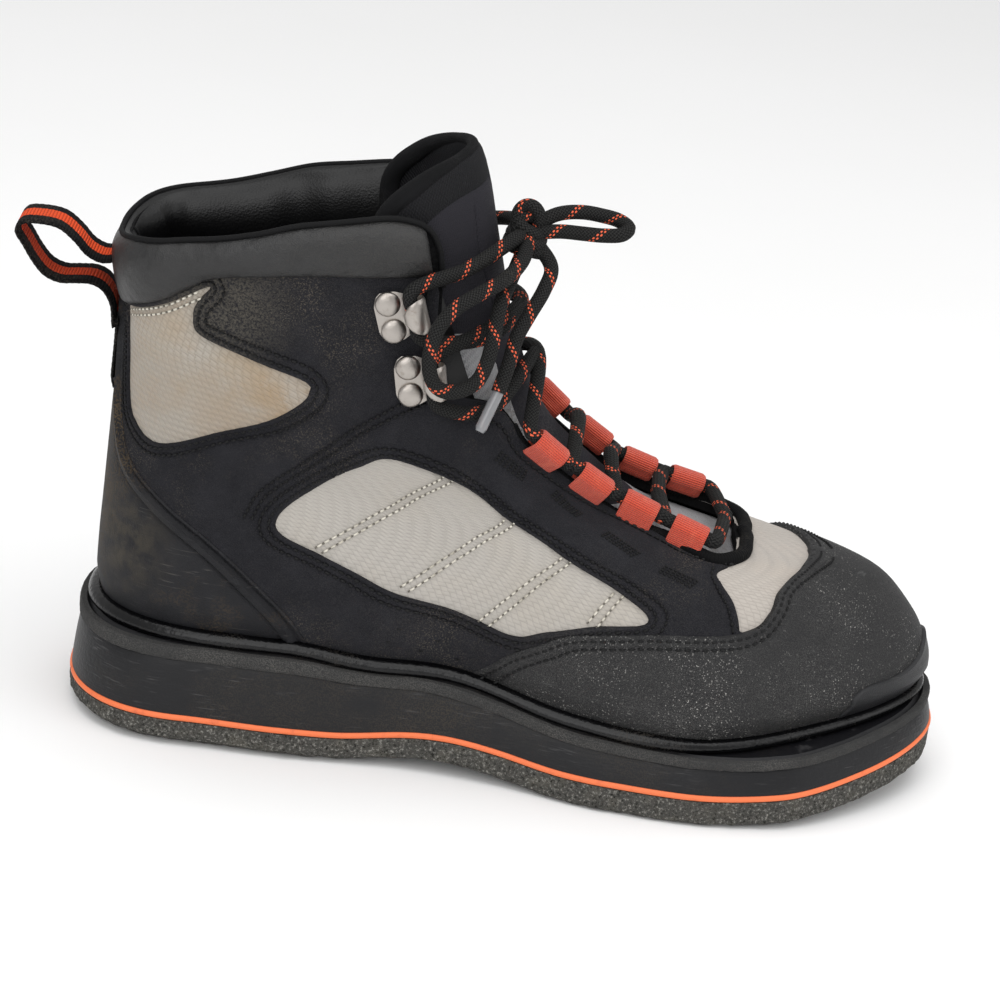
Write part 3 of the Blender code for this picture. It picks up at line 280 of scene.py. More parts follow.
def piece(name, points, faces, finishes, nodes=(), corners=None, which=None, sharp=38.0):
    """Make a mesh piece of points counted from the sole's rear, and hide the parts it stands for.
    """
    mesh = bpy.data.meshes.new(name)
    placed = np.asarray(points, float).reshape(-1, 3) - (HEEL_REST, 0, 0)
    mesh.from_pydata(placed.tolist(), [], [[int(i) for i in face] for face in faces])
    if corners is not None:
        laid = mesh.uv_layers.new(name="cloth")
        laid.data.foreach_set("uv", np.asarray(corners, np.float32).ravel())
    for finish in finishes:
        mesh.materials.append(finish)
    if which is not None:
        mesh.polygons.foreach_set("material_index", np.asarray(which, np.int32))
    work = bmesh.new()
    work.from_mesh(mesh)
    bmesh.ops.recalc_face_normals(work, faces=work.faces)
    work.to_mesh(mesh)
    work.free()
    mesh.shade_smooth()
    mesh.set_sharp_from_angle(angle=math.radians(sharp))
    made = bpy.data.objects.new(name, mesh)
    bpy.context.scene.collection.objects.link(made)
    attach(made, "root")
    if nodes:
        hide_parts(*nodes)
    return made


def lattice(rows, columns, rows_closed=False, columns_closed=False):
    """Quads over rows and columns of points, and each corner's (row, column)."""
    r, c = np.meshgrid(np.arange(rows if rows_closed else rows - 1),
                       np.arange(columns if columns_closed else columns - 1), indexing="ij")
    r, c = r.ravel(), c.ravel()
    corners = np.stack([np.stack([r, c], -1), np.stack([r, c + 1], -1),
                        np.stack([r + 1, c + 1], -1), np.stack([r + 1, c], -1)], 1)
    faces = (corners[..., 0] % rows) * columns + corners[..., 1] % columns
    return faces, corners


def stack_of_rings(name, rings, finishes, nodes, row_finish=None):
    """A closed plate through rings that run from its underside to its top."""
    faces, _ = lattice(len(rings), STATIONS, columns_closed=True)
    faces = faces.tolist()
    which = [row_finish(i) for i in range(len(rings) - 1) for _ in range(STATIONS)] \
        if row_finish else None
    half = STATIONS // 2
    for base in (0, (len(rings) - 1) * STATIONS):
        faces.append((base, base + 1, base + STATIONS - 1))
        faces.append((base + half - 1, base + half, base + half + 1))
        for i in range(1, half - 1):
            faces.append((base + i, base + i + 1, base + STATIONS - i - 1, base + STATIONS - i))
    if which:
        which += [0] * (len(faces) - len(which))
    return piece(name, np.vstack(rings), faces, finishes, nodes, which=which)


def relief(tree, shader, height, distance):
    """Add fine relief to the shader's surface, over any it already has."""
    bump = wire(tree, "Bump", {"Height": height, "Distance": distance, "Strength": 1.0})
    take_over(tree, shader.inputs["Normal"], bump, "Normal", 0)


felt, tree, shader = new_finish("pressed felt", screen(79, 78, 75), 0.98, Specular_IOR_Level=0.1)
fibres = mottle(tree, 0.0011, 6.0, 0.75)
patched(tree, shader, 0.009, 0.45, 0.75, screen(92, 90, 84), 3.0)
tint(tree, shader, between(tree, fibres, 0.52, 0.66), screen(150, 148, 142))
tint(tree, shader, between(tree, fibres, 0.46, 0.36), screen(34, 34, 32))
relief(tree, shader, fibres, 0.0009)

rings = [sole_ring(FELT_BEVEL, sole_lift),
         sole_ring(FELT_BEVEL * 0.50, lambda x: sole_lift(x) * 0.58 + felt_edge(x) * 0.42),
         sole_ring(FELT_BEVEL * 0.15, felt_edge)]
for share in np.linspace(0, 1, 9):
    rings.append(sole_ring(0.0, lambda x: felt_edge(x) + 0.0008
                           + (felt_top(x) - felt_edge(x) - 0.0008) * share))
rings = np.array(rings)
fuzz = ruffled(ruffled(rings, 0.0045, 0.00035), 0.0016, 0.00030, 7.0)
fuzz[0, :, 2] = rings[0, :, 2]
fuzz[-1] = rings[-1]
stack_of_rings("felt", fuzz, [felt], ["outsole_felt"])

# ---------------------------------------------------------------------------------------------
# The stripe: a 2 mm layer of orange rubber between felt and midsole, trimmed a little proud.
# ---------------------------------------------------------------------------------------------
GAP = 0.0003
STRIPE_THICKNESS = 0.0020
STRIPE_EDGE = 0.0008
# The stripe's side, as (inset from the sole's outline, share of its thickness).
STRIPE_RINGS = ((0.0001, 0.0), (-0.0003, 0.25), (-0.0004, 0.5), (-0.0003, 0.75), (0.0001, 1.0))


def pitted(tree, shader, depth, size, detail=4.0, roughness=0.6):
    """Fine uneven relief with lumps of about the size given in metres."""
    relief(tree, shader, mottle(tree, size, detail, roughness), depth)


orange, tree, shader = new_finish("orange rubber", screen(238, 118, 70), 0.55)
patched(tree, shader, 0.006, 0.55, 0.80, screen(205, 96, 60))
pitted(tree, shader, 0.0002, 0.0012)


def stripe_top(x):
    return felt_top(x) + GAP + STRIPE_THICKNESS


rings = [sole_ring(STRIPE_EDGE, felt_top)]
for inset, share in STRIPE_RINGS:
    rings.append(sole_ring(inset, lambda x: felt_top(x) + GAP + STRIPE_THICKNESS * share))
rings.append(sole_ring(STRIPE_EDGE, lambda x: stripe_top(x) + GAP))
stack_of_rings("stripe", rings, [orange], ["sole_stripe"])

# ---------------------------------------------------------------------------------------------
# The midsole: black rubber with a smooth, slightly scratched wall, a rough grey ridge round its
# top and a groove inside the ridge where the upper's bead lies.
# ---------------------------------------------------------------------------------------------
HEEL_SEAT = 0.0385
BALL_SEAT = 0.0250
RIDGE_INSET = 0.0018
RIDGE_DEPTH = 0.0010
RIDGE_WIDTH = 0.0026
GROOVE_DEPTH = 0.0012
# Height of the seat on which the upper stands, between HEEL_SEAT (1) and BALL_SEAT (0).
SEAT = ((0.00, 1.00), (0.25, 1.00), (0.375, 0.63), (0.625, 0.09), (0.735, 0.00), (1.00, -0.04))
# Height of the ridge round the top of the midsole, as shares of the midsole's own height.
RIDGE = ((0.00, 0.20), (0.30, 0.20), (0.60, 0.27), (1.00, 0.27))


def roughen(tree, shader, mask, roughness):
    """Change the shader's roughness where the mask is high."""
    place = shader.inputs["Roughness"]
    mix = wire(tree, "Mix", {0: mask, 2: place.default_value, 3: roughness})
    take_over(tree, place, mix, 2, 0)


def reckon(tree, operation, *values):
    """A sum on values or on what comes from other nodes."""
    return wire(tree, "Math", dict(enumerate(values)), operation=operation).outputs[0]


def effect(name, takes, gives):
    """A node group with named inputs and outputs: returns it, its inputs and its outputs."""
    group = bpy.data.node_groups.new(name, "ShaderNodeTree")
    for word, start in takes.items():
        group.interface.new_socket(word, in_out="INPUT",
                                   socket_type="NodeSocketFloat").default_value = start
    for word in gives:
        group.interface.new_socket(word, in_out="OUTPUT", socket_type="NodeSocketFloat")
    entry, result = (group.nodes.new(kind) for kind in ("NodeGroupInput", "NodeGroupOutput"))
    return group, entry.outputs, result.inputs


# Dust and dirt: grains of a given size that gather in patches.  Low and High are the patches'
# limits: the lower they are, the more of the surface is dusty.
dust, takes, gives = effect("dust", {"Grain": 1100.0, "Patch": 22.0, "Low": 0.5, "High": 0.7,
                                     "Sparse": 0.45},
                            ["Mask"])
place = wire(dust, "TexCoord").outputs["Object"]
grains = clouds(dust, place, takes["Grain"], 3.0)
patches = clouds(dust, place, takes["Patch"], 5.0, 0.65)
where = wire(dust, "MapRange", {"Value": patches, "From Min": takes["Low"],
                                "From Max": takes["High"]}).outputs[0]
dust.links.new(reckon(dust, "MULTIPLY", between(dust, grains, takes["Sparse"], reckon(
    dust, "ADD", takes["Sparse"], 0.14)), where), gives["Mask"])

# Fine scratches that run along the sole or round the toe.
scuffs, takes, gives = effect("scuffs", {"Fine": 1600.0, "Share": 0.62}, ["Mask", "Height"])
place = wire(scuffs, "TexCoord").outputs["Object"]
lines = wire(scuffs, "Mapping", {"Vector": place, "Scale": (0.06, 0.10, 1.0),
                                 "Rotation": (0.0, 0.12, 0.2)}).outputs[0]
streaks = clouds(scuffs, lines, takes["Fine"], 2.0)
spots = between(scuffs, clouds(scuffs, place, 60.0, 4.0), 0.42, 0.62)
mask = wire(scuffs, "MapRange", {"Value": streaks, "From Min": takes["Share"],
                                 "From Max": 0.74}).outputs[0]
scuffs.links.new(reckon(scuffs, "MULTIPLY", mask, spots), gives["Mask"])
scuffs.links.new(streaks, gives["Height"])


def dusted(tree, shader, colour, **values):
    """Put dust on a material, which also dulls it."""
    mask = wire(tree, "Group", values, node_tree=dust).outputs["Mask"]
    tint(tree, shader, mask, colour)
    roughen(tree, shader, mask, 0.9)


def scuffed(tree, shader, colour, **values):
    made = wire(tree, "Group", values, node_tree=scuffs)
    tint(tree, shader, made.outputs["Mask"], colour)
    relief(tree, shader, made.outputs["Height"], 0.00012)


wall_rubber, tree, shader = new_finish("midsole rubber", screen(21, 21, 24), 0.46,
                                       Specular_IOR_Level=0.35)
scuffed(tree, shader, screen(66, 65, 66), Share=0.60)
dusted(tree, shader, screen(74, 66, 55), Patch=16.0, Low=0.50, High=0.95, Grain=2000.0)
pitted(tree, shader, 0.0002, 0.0016)
ridge_rubber, tree, shader = new_finish("worn ridge rubber", screen(56, 56, 56), 0.88,
                                        Specular_IOR_Level=0.2)
dusted(tree, shader, screen(100, 98, 95), Low=0.35, High=0.85, Grain=2600.0)
pitted(tree, shader, 0.0005, 0.0009, 5.0, 0.7)


def seat(x):
    """Top of the midsole, on which the upper and the insole stand."""
    share = table_curve(SEAT, np.asarray(x) / SOLE_LENGTH)
    return sole_lift(x) + BALL_SEAT + (HEEL_SEAT - BALL_SEAT) * share


def wall_height(x, share):
    """A height on the midsole's wall, from the stripe (0) to the seat (1)."""
    base = stripe_top(x) + GAP
    return base + (seat(x) - base) * share


def ridge_foot(x):
    return wall_height(x, 1 - table_curve(RIDGE, np.asarray(x) / SOLE_LENGTH))


foot = RIDGE_INSET + RIDGE_DEPTH
inner = RIDGE_INSET + RIDGE_WIDTH
rings = [sole_ring(0.0010, lambda x: wall_height(x, 0) - GAP),
         sole_ring(0.0003, lambda x: wall_height(x, 0))]
for share in np.linspace(0, 1, 7)[1:]:
    rings.append(sole_ring(0.0003 + (foot - 0.0003) * share ** 1.5, lambda x: wall_height(x, 0)
                           + (ridge_foot(x) - 0.0008 - wall_height(x, 0)) * share))
rings.append(sole_ring(foot + 0.0003, lambda x: ridge_foot(x) - 0.0003))
ridge_start = len(rings) - 1
for share, inset in ((0.0, 0.0006), (0.12, 0.0001), (0.35, 0.0), (0.65, 0.0), (0.88, 0.0001)):
    rings.append(sole_ring(RIDGE_INSET + inset, lambda x: ridge_foot(x)
                           + (seat(x) - ridge_foot(x)) * share))
rings += [sole_ring(RIDGE_INSET + 0.0006, seat), sole_ring(inner, lambda x: seat(x) + 0.0001)]
ridge_end = len(rings) - 1
rings += [sole_ring(inner + 0.0006, lambda x: seat(x) - GROOVE_DEPTH * 0.8),
          sole_ring(inner + GROOVE_DEPTH, lambda x: seat(x) - GROOVE_DEPTH),
          sole_ring(inner + GROOVE_DEPTH * 2.0, seat)]
rings = np.array(rings)
worn = ruffled(rings, 0.012, 0.00018, 3.0)
worn[ridge_start:ridge_end] = ruffled(worn[ridge_start:ridge_end], 0.0022, 0.00022, 5.0)
worn[:2] = rings[:2]
stack_of_rings("midsole_rubber", worn, [wall_rubber, ridge_rubber], ["midsole"],
               lambda row: 1 if ridge_start <= row < ridge_end else 0)

# ---------------------------------------------------------------------------------------------
# The insole: a thin black foam sheet, die cut, that lies in the boot on the midsole's seat.
# ---------------------------------------------------------------------------------------------
foam, tree, shader = new_finish("insole foam", screen(52, 52, 53), 0.95, Sheen_Weight=0.2)
pitted(tree, shader, 0.0004, 0.0012, 4.0, 0.7)
dusted(tree, shader, screen(92, 86, 76), Low=0.45, High=0.9)
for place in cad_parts["insole"].material_slots:
    place.material = foam

# ---------------------------------------------------------------------------------------------
# The upper's cloth: one light grey shell that shows in the windows at ankle and side and over
# the toes.  It is lasted over the foot's shape, so every later piece is laid on this surface.
# ---------------------------------------------------------------------------------------------
SHAFT_RISE = 0.160
UPPER_WALL = 0.0026
CLOTH_PUFF = 0.0006
# The upper, level by level from the seat (row 0) to above the collar (row 13).
# back and front: how far along the sole.  low and high: rise at back and front, in SHAFT_RISE.
# heel, waist, ball, toe: half widths, in the sole's widths of those names.
# dip: how much of the seat's slope the level follows.  lean: how much of the sole's curve.
LEVELS = (
    # back, low, front, high, heel, waist, ball, toe, dip, lean
    (0.0328, 0.000, 0.9656, 0.000, 0.392, 0.398, 0.415, 0.380, 1.00, 1.00),
    (0.0306, 0.082, 0.9766, 0.065, 0.413, 0.422, 0.433, 0.398, 0.95, 1.00),
    (0.0312, 0.163, 0.9672, 0.129, 0.418, 0.434, 0.425, 0.389, 0.80, 0.95),
    (0.0328, 0.244, 0.9453, 0.192, 0.408, 0.434, 0.401, 0.366, 0.60, 0.80),
    (0.0344, 0.332, 0.9140, 0.246, 0.397, 0.428, 0.364, 0.333, 0.40, 0.65),
    (0.0360, 0.419, 0.8610, 0.273, 0.380, 0.422, 0.324, 0.296, 0.20, 0.50),
    (0.0375, 0.501, 0.7720, 0.300, 0.364, 0.416, 0.292, 0.268, 0.10, 0.35),
    (0.0406, 0.576, 0.6690, 0.344, 0.348, 0.410, 0.271, 0.250, 0.00, 0.20),
    (0.0422, 0.644, 0.5840, 0.444, 0.337, 0.405, 0.263, 0.241, 0.00, 0.10),
    (0.0422, 0.707, 0.5250, 0.569, 0.332, 0.399, 0.259, 0.241, 0.00, 0.00),
    (0.0390, 0.776, 0.4780, 0.757, 0.332, 0.399, 0.259, 0.241, 0.00, 0.00),
    (0.0338, 0.844, 0.4500, 0.926, 0.332, 0.399, 0.259, 0.241, 0.00, 0.00),
    (0.0312, 0.894, 0.4310, 1.088, 0.332, 0.399, 0.259, 0.241, 0.00, 0.00),
    (0.0310, 0.957, 0.4160, 1.194, 0.332, 0.399, 0.259, 0.241, 0.00, 0.00),
)
RUN = (0.00, 0.14, 0.42, 0.72, 0.92, 1.00)
LEVEL_HEEL_ROUND = 0.16
LEVEL_TOE_ROUND = (0.36, 0.012)
# Half the way round the upper at each level, and from one level to the next, for laying it flat.
GIRTH = ((0.0, 0.31), (3.0, 0.30), (5.0, 0.27), (7.0, 0.22), (9.0, 0.18), (13.0, 0.155))
LEVEL_STEP = 0.0130

# Lines on the upper, as (round, level): round is 0 at the heel seam and 1 at the toe's ridge.
COLLAR_LINE = (
    (0.00, 11.70), (0.08, 11.85), (0.16, 11.98), (0.25, 11.95), (0.35, 11.88), (0.42, 11.92),
    (0.49, 12.00), (0.56, 11.95), (0.64, 11.90), (0.69, 11.77), (0.722, 11.57), (0.738, 11.25),
)
THROAT_LINE = (
    (0.738, 11.25), (0.728, 10.70), (0.705, 10.10), (0.685, 9.60), (0.682, 9.35), (0.705, 9.25),
    (0.760, 9.20), (0.785, 8.95), (0.780, 8.54), (0.800, 7.97), (0.815, 7.29), (0.800, 6.46),
    (0.787, 5.98), (0.800, 5.76), (0.840, 5.86), (0.900, 6.10), (0.960, 6.25), (1.000, 6.29),
)
ANKLE_WINDOW = (
    (0.326, 10.62), (0.298, 10.27), (0.280, 9.85), (0.292, 9.37), (0.376, 9.12), (0.448, 8.95),
    (0.450, 8.70), (0.400, 7.92), (0.280, 6.54), (0.162, 5.50), (0.120, 5.85), (0.098, 6.60),
    (0.086, 7.60), (0.075, 8.80), (0.078, 9.35), (0.140, 9.62), (0.220, 10.02),
)
SIDE_WINDOW = (
    (0.312, 3.96), (0.340, 4.84), (0.444, 6.64), (0.524, 7.39), (0.572, 7.24), (0.566, 5.94),
    (0.576, 4.81), (0.606, 4.08), (0.618, 3.42), (0.574, 3.08), (0.532, 2.55), (0.496, 2.05),
    (0.456, 2.28), (0.418, 2.48), (0.380, 2.96), (0.350, 3.26), (0.318, 3.60),
)
# The double seam between the ankle's and the side's parts of each quarter.
QUARTER_SEAM = ((0.283, 3.93), (0.302, 4.75), (0.361, 5.95), (0.465, 7.61), (0.574, 8.74),
                (0.649, 9.24))
# Pairs of stitch rows across the side window, as (round, level), and how far each row of a pair
# lies beside its line.
PAIR = (-0.00125, 0.00125)
SIDE_ROWS = (((0.350, 3.38), (0.384, 4.16), (0.424, 5.05), (0.490, 6.21), (0.581, 7.34)),
             ((0.420, 2.70), (0.444, 3.33), (0.470, 4.01), (0.508, 4.94), (0.568, 5.95)),
             ((0.480, 2.10), (0.499, 2.80), (0.520, 3.48), (0.545, 4.16), (0.579, 4.91)),
             ((0.571, 3.09), (0.586, 3.58), (0.605, 4.10)))


def level_values(level):
    rows = np.arange(len(LEVELS))
    return [curve_through(rows, column, level) for column in np.array(LEVELS).T]


def surface(way, level):
    """A point of the upper.

    way is how far round it lies: 0 at the heel seam, -1 at the toe by the lateral side and +1 at
    the toe by the medial side.  level counts the rows of LEVELS.
    """
    way, level = np.broadcast_arrays(np.asarray(way, float), np.asarray(level, float))
    behind, low, front, high, heel, waist, ball, toe, dip, lean = level_values(level)
    run = (1 - np.cos(math.pi * np.abs(way))) / 2
    x = SOLE_LENGTH * (behind + (front - behind) * run)
    base = HEEL_SEAT + GAP + SHAFT_RISE * (low + (high - low) * run)
    z = base + dip * (seat(x) - seat(0.0))
    widths = [HEEL_WIDTH * heel, HEEL_WIDTH * heel, WAIST_WIDTH * waist, BALL_WIDTH * ball,
              TOE_WIDTH * toe, TOE_WIDTH * toe * 0.9]
    width = curve_through(RUN, np.stack(widths, -1), run)
    toe_round = LEVEL_TOE_ROUND[0] - LEVEL_TOE_ROUND[1] * level
    ends = round_end(run / LEVEL_HEEL_ROUND, 2.2) * round_end((1 - run) / toe_round, 2.15)
    along = x / SOLE_LENGTH
    middle = (half_width(along, 1) - half_width(along, -1)) / 2 * lean * 0.8
    return np.stack([x, (np.sign(way) * width + middle) * ends, z], -1)


def wrapped(way):
    return (np.asarray(way) + 1) % 2 - 1


def outward(way, level):
    """Unit normals of the upper, pointing out of the boot."""
    step = 0.004
    way, level = np.broadcast_arrays(np.asarray(way, float), np.asarray(level, float))
    round_it = surface(wrapped(way + step), level) - surface(wrapped(way - step), level)
    up_it = surface(way, level + step) - surface(way, np.maximum(level - step, 0))
    normal = np.cross(up_it, round_it)
    return normal / np.linalg.norm(normal, axis=-1)[..., None]


def raised(way, level, height):
    """Points at a height over the upper's surface (below it where the height is negative)."""
    return surface(way, level) + outward(way, level) * np.asarray(height)[..., None]


def from_ridge(across, level, height):
    """Place points by their way from the toe's ridge: lateral below 0, medial above."""
    side = np.where(np.asarray(across) < 0, -1, 1)
    return raised(side * (1 - np.abs(across)), level, height)


def to_ridge(line):
    """Rewrite (round, level) points as ways from the toe's ridge."""
    line = np.asarray(line, float)
    return np.stack([1 - line[:, 0], line[:, 1]], -1)


def spread(points):
    """Lay (way, level) points out flat at about their real distances."""
    points = np.asarray(points, float)
    return np.stack([points[:, 0] * table_curve(GIRTH, points[:, 1]),
                     points[:, 1] * LEVEL_STEP], -1)


def gathered(points):
    level = points[:, 1] / LEVEL_STEP
    return np.stack([points[:, 0] / table_curve(GIRTH, level), level], -1)


def flowing(points, per_span, closed=False):
    """A smooth line through the points, with per_span steps between each two."""
    points = np.asarray(points, float)
    if closed:
        guide = np.vstack([points[-1], points, points[0], points[1]])
    else:
        guide = np.vstack([2 * points[0] - points[1], points, 2 * points[-1] - points[-2]])
    t = np.linspace(0, 1, per_span, endpoint=False)[:, None]
    line = []
    for i in range(len(points) if closed else len(points) - 1):
        before, here, there, after = guide[i:i + 4]
        gaps = [max(math.sqrt(np.linalg.norm(b - a)), 1e-6)
                for a, b in ((before, here), (here, there), (there, after))]
        leave = ((here - before) / gaps[0] - (there - before) / (gaps[0] + gaps[1])) * gaps[1] \
            + (there - here)
        arrive = ((after - there) / gaps[2] - (after - here) / (gaps[1] + gaps[2])) * gaps[1] \
            + (there - here)
        line.append((1 + 2 * t) * (1 - t) ** 2 * here + t * (1 - t) ** 2 * leave
                    + t * t * (3 - 2 * t) * there + t * t * (t - 1) * arrive)
    if not closed:
        line.append(points[-1:])
    return np.vstack(line)


def run_of(line):
    """How far along the line each of its points lies."""
    return np.concatenate([[0], np.cumsum(np.linalg.norm(np.diff(line, axis=0), axis=1))])


def evenly(line, spacing):
    """The line's points, spaced evenly, about `spacing` apart, ends kept."""
    run = run_of(line)
    count = max(2, int(round(run[-1] / spacing)) + 1)
    at = np.linspace(0, run[-1], count)
    return np.stack([np.interp(at, run, line[:, k]) for k in range(line.shape[1])], -1)


def leftward(step):
    """Unit vectors to the left of flat steps."""
    step = step / (np.linalg.norm(step, axis=1)[:, None] + 1e-12)
    return np.stack([-step[:, 1], step[:, 0]], -1)


def beside(line, distance):
    """A line of (way, level) points moved to its left by a distance in metres."""
    flat = spread(line)
    return gathered(flat + leftward(np.gradient(flat, axis=0)) * distance)


def ring_of(*chains):
    """Join chains end to end into one ring, without repeated points."""
    ring = np.vstack(chains)
    keep = np.linalg.norm(ring - np.roll(ring, 1, axis=0), axis=1) > 1e-6
    return ring[keep]


def level_run(start, end, level, count):
    return np.stack([np.linspace(start, end, count), np.full(count, level)], -1)


def opposite(line):
    """The same line on the boot's other side, run backwards."""
    return (line * (-1, 1))[::-1]


def closed_below(half, level, count):
    """Close a half outline, from its foot up to the middle, into a whole one along its foot."""
    return ring_of(level_run(-half[0, 0], half[0, 0], level, count), half[1:],
                   opposite(half)[:-1])


def inside(ring, points):
    """Which points lie inside the closed ring."""
    ax, ay = ring[:, 0], ring[:, 1]
    bx, by = np.roll(ax, -1), np.roll(ay, -1)
    found = []
    for some in np.array_split(points, len(points) // 2000 + 1):
        x, y = some[:, 0][:, None], some[:, 1][:, None]
        crosses = (ay > y) != (by > y)
        reach = ax + (y - ay) * (bx - ax) / np.where(by == ay, 1, by - ay)
        found.append(np.sum(crosses & (x < reach), axis=1) % 2 == 1)
    return np.concatenate(found)


def distance_to(lines, points):
    """How far each flat point lies from the nearest of the lines."""
    starts = np.vstack([line[:-1] for line in lines])
    step = np.vstack([line[1:] for line in lines]) - starts
    size = (step ** 2).sum(1) + 1e-18
    found = []
    for some in np.array_split(points, len(points) // 1500 + 1):
        off = some[:, None] - starts
        share = np.clip((off * step).sum(-1) / size, 0, 1)
        found.append(np.sqrt(((off - share[..., None] * step) ** 2).sum(-1)).min(1))
    return np.concatenate(found)


# A panel's mesh has rows of points at these distances from its edges and its seams.
EDGE_ROWS = (0.00030, 0.00085, 0.0018, 0.0032)
SEAM_ROWS = (0.0, 0.0008, -0.0008)
SEAM_CLEAR = 0.0004
BORDER_STEP = 0.0013
SEAM_STEP = 0.0015
SEAM_HOLLOW = 0.0007
ROW_RISE = 0.87
SAME_POINT = 0.00035


def panel(name, rings, place, top, low, finishes, nodes=(), seams=(), spacing=0.0024,
          dip=0.00035, which=None, under=0):
    """A cut and laid sheet: inside the first ring, without the others.

    place(u, v, height) gives its points; top(u, v, d) and low(u, v, d) the heights of its two
    faces, d being the distance to the edge.  seams are lines that draw the top in by `dip`.
    """
    borders = [evenly(spread(np.vstack([ring, ring[:1]])), BORDER_STEP) for ring in rings]
    seam_lines = [evenly(spread(line), SEAM_STEP) for line in seams]
    outer = borders[0]

    def within(points):
        keep = inside(outer[:-1], points)
        for hole in borders[1:]:
            keep &= ~inside(hole[:-1], points)
        return keep

    courses = []
    for border in borders:
        ring = border[:-1]
        across = leftward(np.roll(ring, -1, axis=0) - np.roll(ring, 1, axis=0))
        courses += [(ring + across * inset * side, inset * 0.9)
                    for inset in EDGE_ROWS for side in (-1, 1)]
    for line in seam_lines:
        across = leftward(np.gradient(line, axis=0))
        courses += [(line + across * inset, SEAM_CLEAR) for inset in SEAM_ROWS]
    extra = []
    for row, clear in courses:
        row = row[within(row)]
        if len(row):
            extra.append(row[distance_to(borders, row) > clear])
    lowest, highest = outer.min(axis=0), outer.max(axis=0)
    first = np.floor(lowest / spacing).astype(int) - 1
    last = np.ceil(highest / spacing / ROW_RISE).astype(int) + 1
    grid = np.array([(spacing * (column + (row % 2) / 2), spacing * row * ROW_RISE)
                     for row in range(first[1], last[1]) for column in range(first[0], last[0])])
    grid = grid[within(grid)]
    grid = grid[distance_to(borders, grid) > EDGE_ROWS[-1] + spacing * 0.4]
    if seam_lines:
        grid = grid[distance_to(seam_lines, grid) > 0.0008 + spacing * 0.4]
    extra = np.vstack([*extra, grid])
    _, kept = np.unique(np.round(extra / SAME_POINT), axis=0, return_index=True)
    extra = extra[np.sort(kept)]
    edges, boundary = [], []
    for border in borders:
        start, count = len(boundary), len(border) - 1
        boundary.extend(border[:-1])
        edges.extend((start + i, start + (i + 1) % count) for i in range(count))
    points = [Vector(point) for point in np.vstack([np.array(boundary), extra])]
    found, _, triangles, _, _, _ = delaunay_2d_cdt(points, edges, [], 0, 1e-7)
    found = np.array([tuple(point) for point in found])
    triangles = np.array([tuple(face) for face in triangles])
    triangles = triangles[within(found[triangles].mean(axis=1))]
    used, triangles = np.unique(triangles, return_inverse=True)
    triangles = triangles.reshape(-1, 3)
    found = found[used]
    u, v = gathered(found).T
    distance = distance_to(borders, found)
    height = top(u, v, distance)
    if seam_lines:
        height = height - dip * np.exp(-(distance_to(seam_lines, found) / SEAM_HOLLOW) ** 2)
    count = len(found)
    points = np.vstack([place(u, v, height), place(u, v, low(u, v, distance))])
    faces = triangles.tolist()
    sides = {side for a, b, c in faces for side in ((a, b), (b, c), (c, a))}
    rims = sorted((a, b) for a, b in sides if (b, a) not in sides)
    faces += (triangles[:, ::-1] + count).tolist()
    faces += [(b, a, a + count, b + count) for a, b in rims]
    both = np.vstack([found, found])
    corners = both[np.concatenate([np.ravel(face) for face in faces])]
    kinds = np.zeros(len(faces), int)
    if which:
        kinds[:len(triangles)] = which(*gathered(found[triangles].mean(axis=1)).T)
    kinds[len(triangles):] = under
    return piece(name, points, faces, finishes, nodes, corners, kinds)


def humps(tree, value):
    """A round hump over each whole step of the value."""
    return reckon(tree, "ABSOLUTE", reckon(tree, "SINE", reckon(tree, "MULTIPLY", value, math.pi)))


def over_under(tree, at):
    """1 and 0 in turn over a chequer of whole steps."""
    return wire(tree, "TexChecker", {"Vector": at, "Scale": 1.0, "Color1": (1, 1, 1, 1),
                                     "Color2": (0, 0, 0, 1)}).outputs["Fac"]


# Plain weave from the cloth's own flat coordinates: threads of a given width, turned by an angle.
weave, takes, gives = effect("weave", {"Threads": 1100.0, "Turn": 0.0}, ["Height", "Over"])
cloth = wire(weave, "TexCoord").outputs["UV"]
turned = wire(weave, "VectorRotate", {"Vector": cloth, "Angle": takes["Turn"]},
              rotation_type="Z_AXIS").outputs[0]
bent = wire(weave, "TexNoise", {"Vector": cloth, "Scale": 260.0, "Detail": 2.0}).outputs["Color"]
turned = wire(weave, "VectorMath", {0: bent, 1: (0.00012, 0.00012, 0.0), 2: turned},
              operation="MULTIPLY_ADD").outputs[0]
spun = wire(weave, "VectorMath", {0: turned, "Scale": takes["Threads"]},
            operation="SCALE").outputs[0]
part = wire(weave, "SeparateXYZ", {0: spun}).outputs
over = over_under(weave, spun)
height = wire(weave, "Mix", {0: over, 2: humps(weave, part[0]), 3: humps(weave, part[1])})
weave.links.new(height.outputs[0], gives["Height"])
weave.links.new(over, gives["Over"])


def soiled_spot(tree, shader, colour, way, level, reach, grain, share):
    """Dirt that is thickest at one spot of the upper and thins out round it."""
    centre = raised(np.array([way]), np.array([level]), np.zeros(1))[0] - (HEEL_REST, 0, 0)
    place = wire(tree, "TexCoord").outputs["Object"]
    gap = wire(tree, "VectorMath", {0: place, 1: tuple(centre)}, operation="DISTANCE")
    thick = reckon(tree, "MULTIPLY", between(tree, gap.outputs["Value"], reach, reach * 0.2),
                   between(tree, mottle(tree, grain, 5.0), 0.36, 0.66))
    tint(tree, shader, reckon(tree, "MULTIPLY", thick, share), colour)


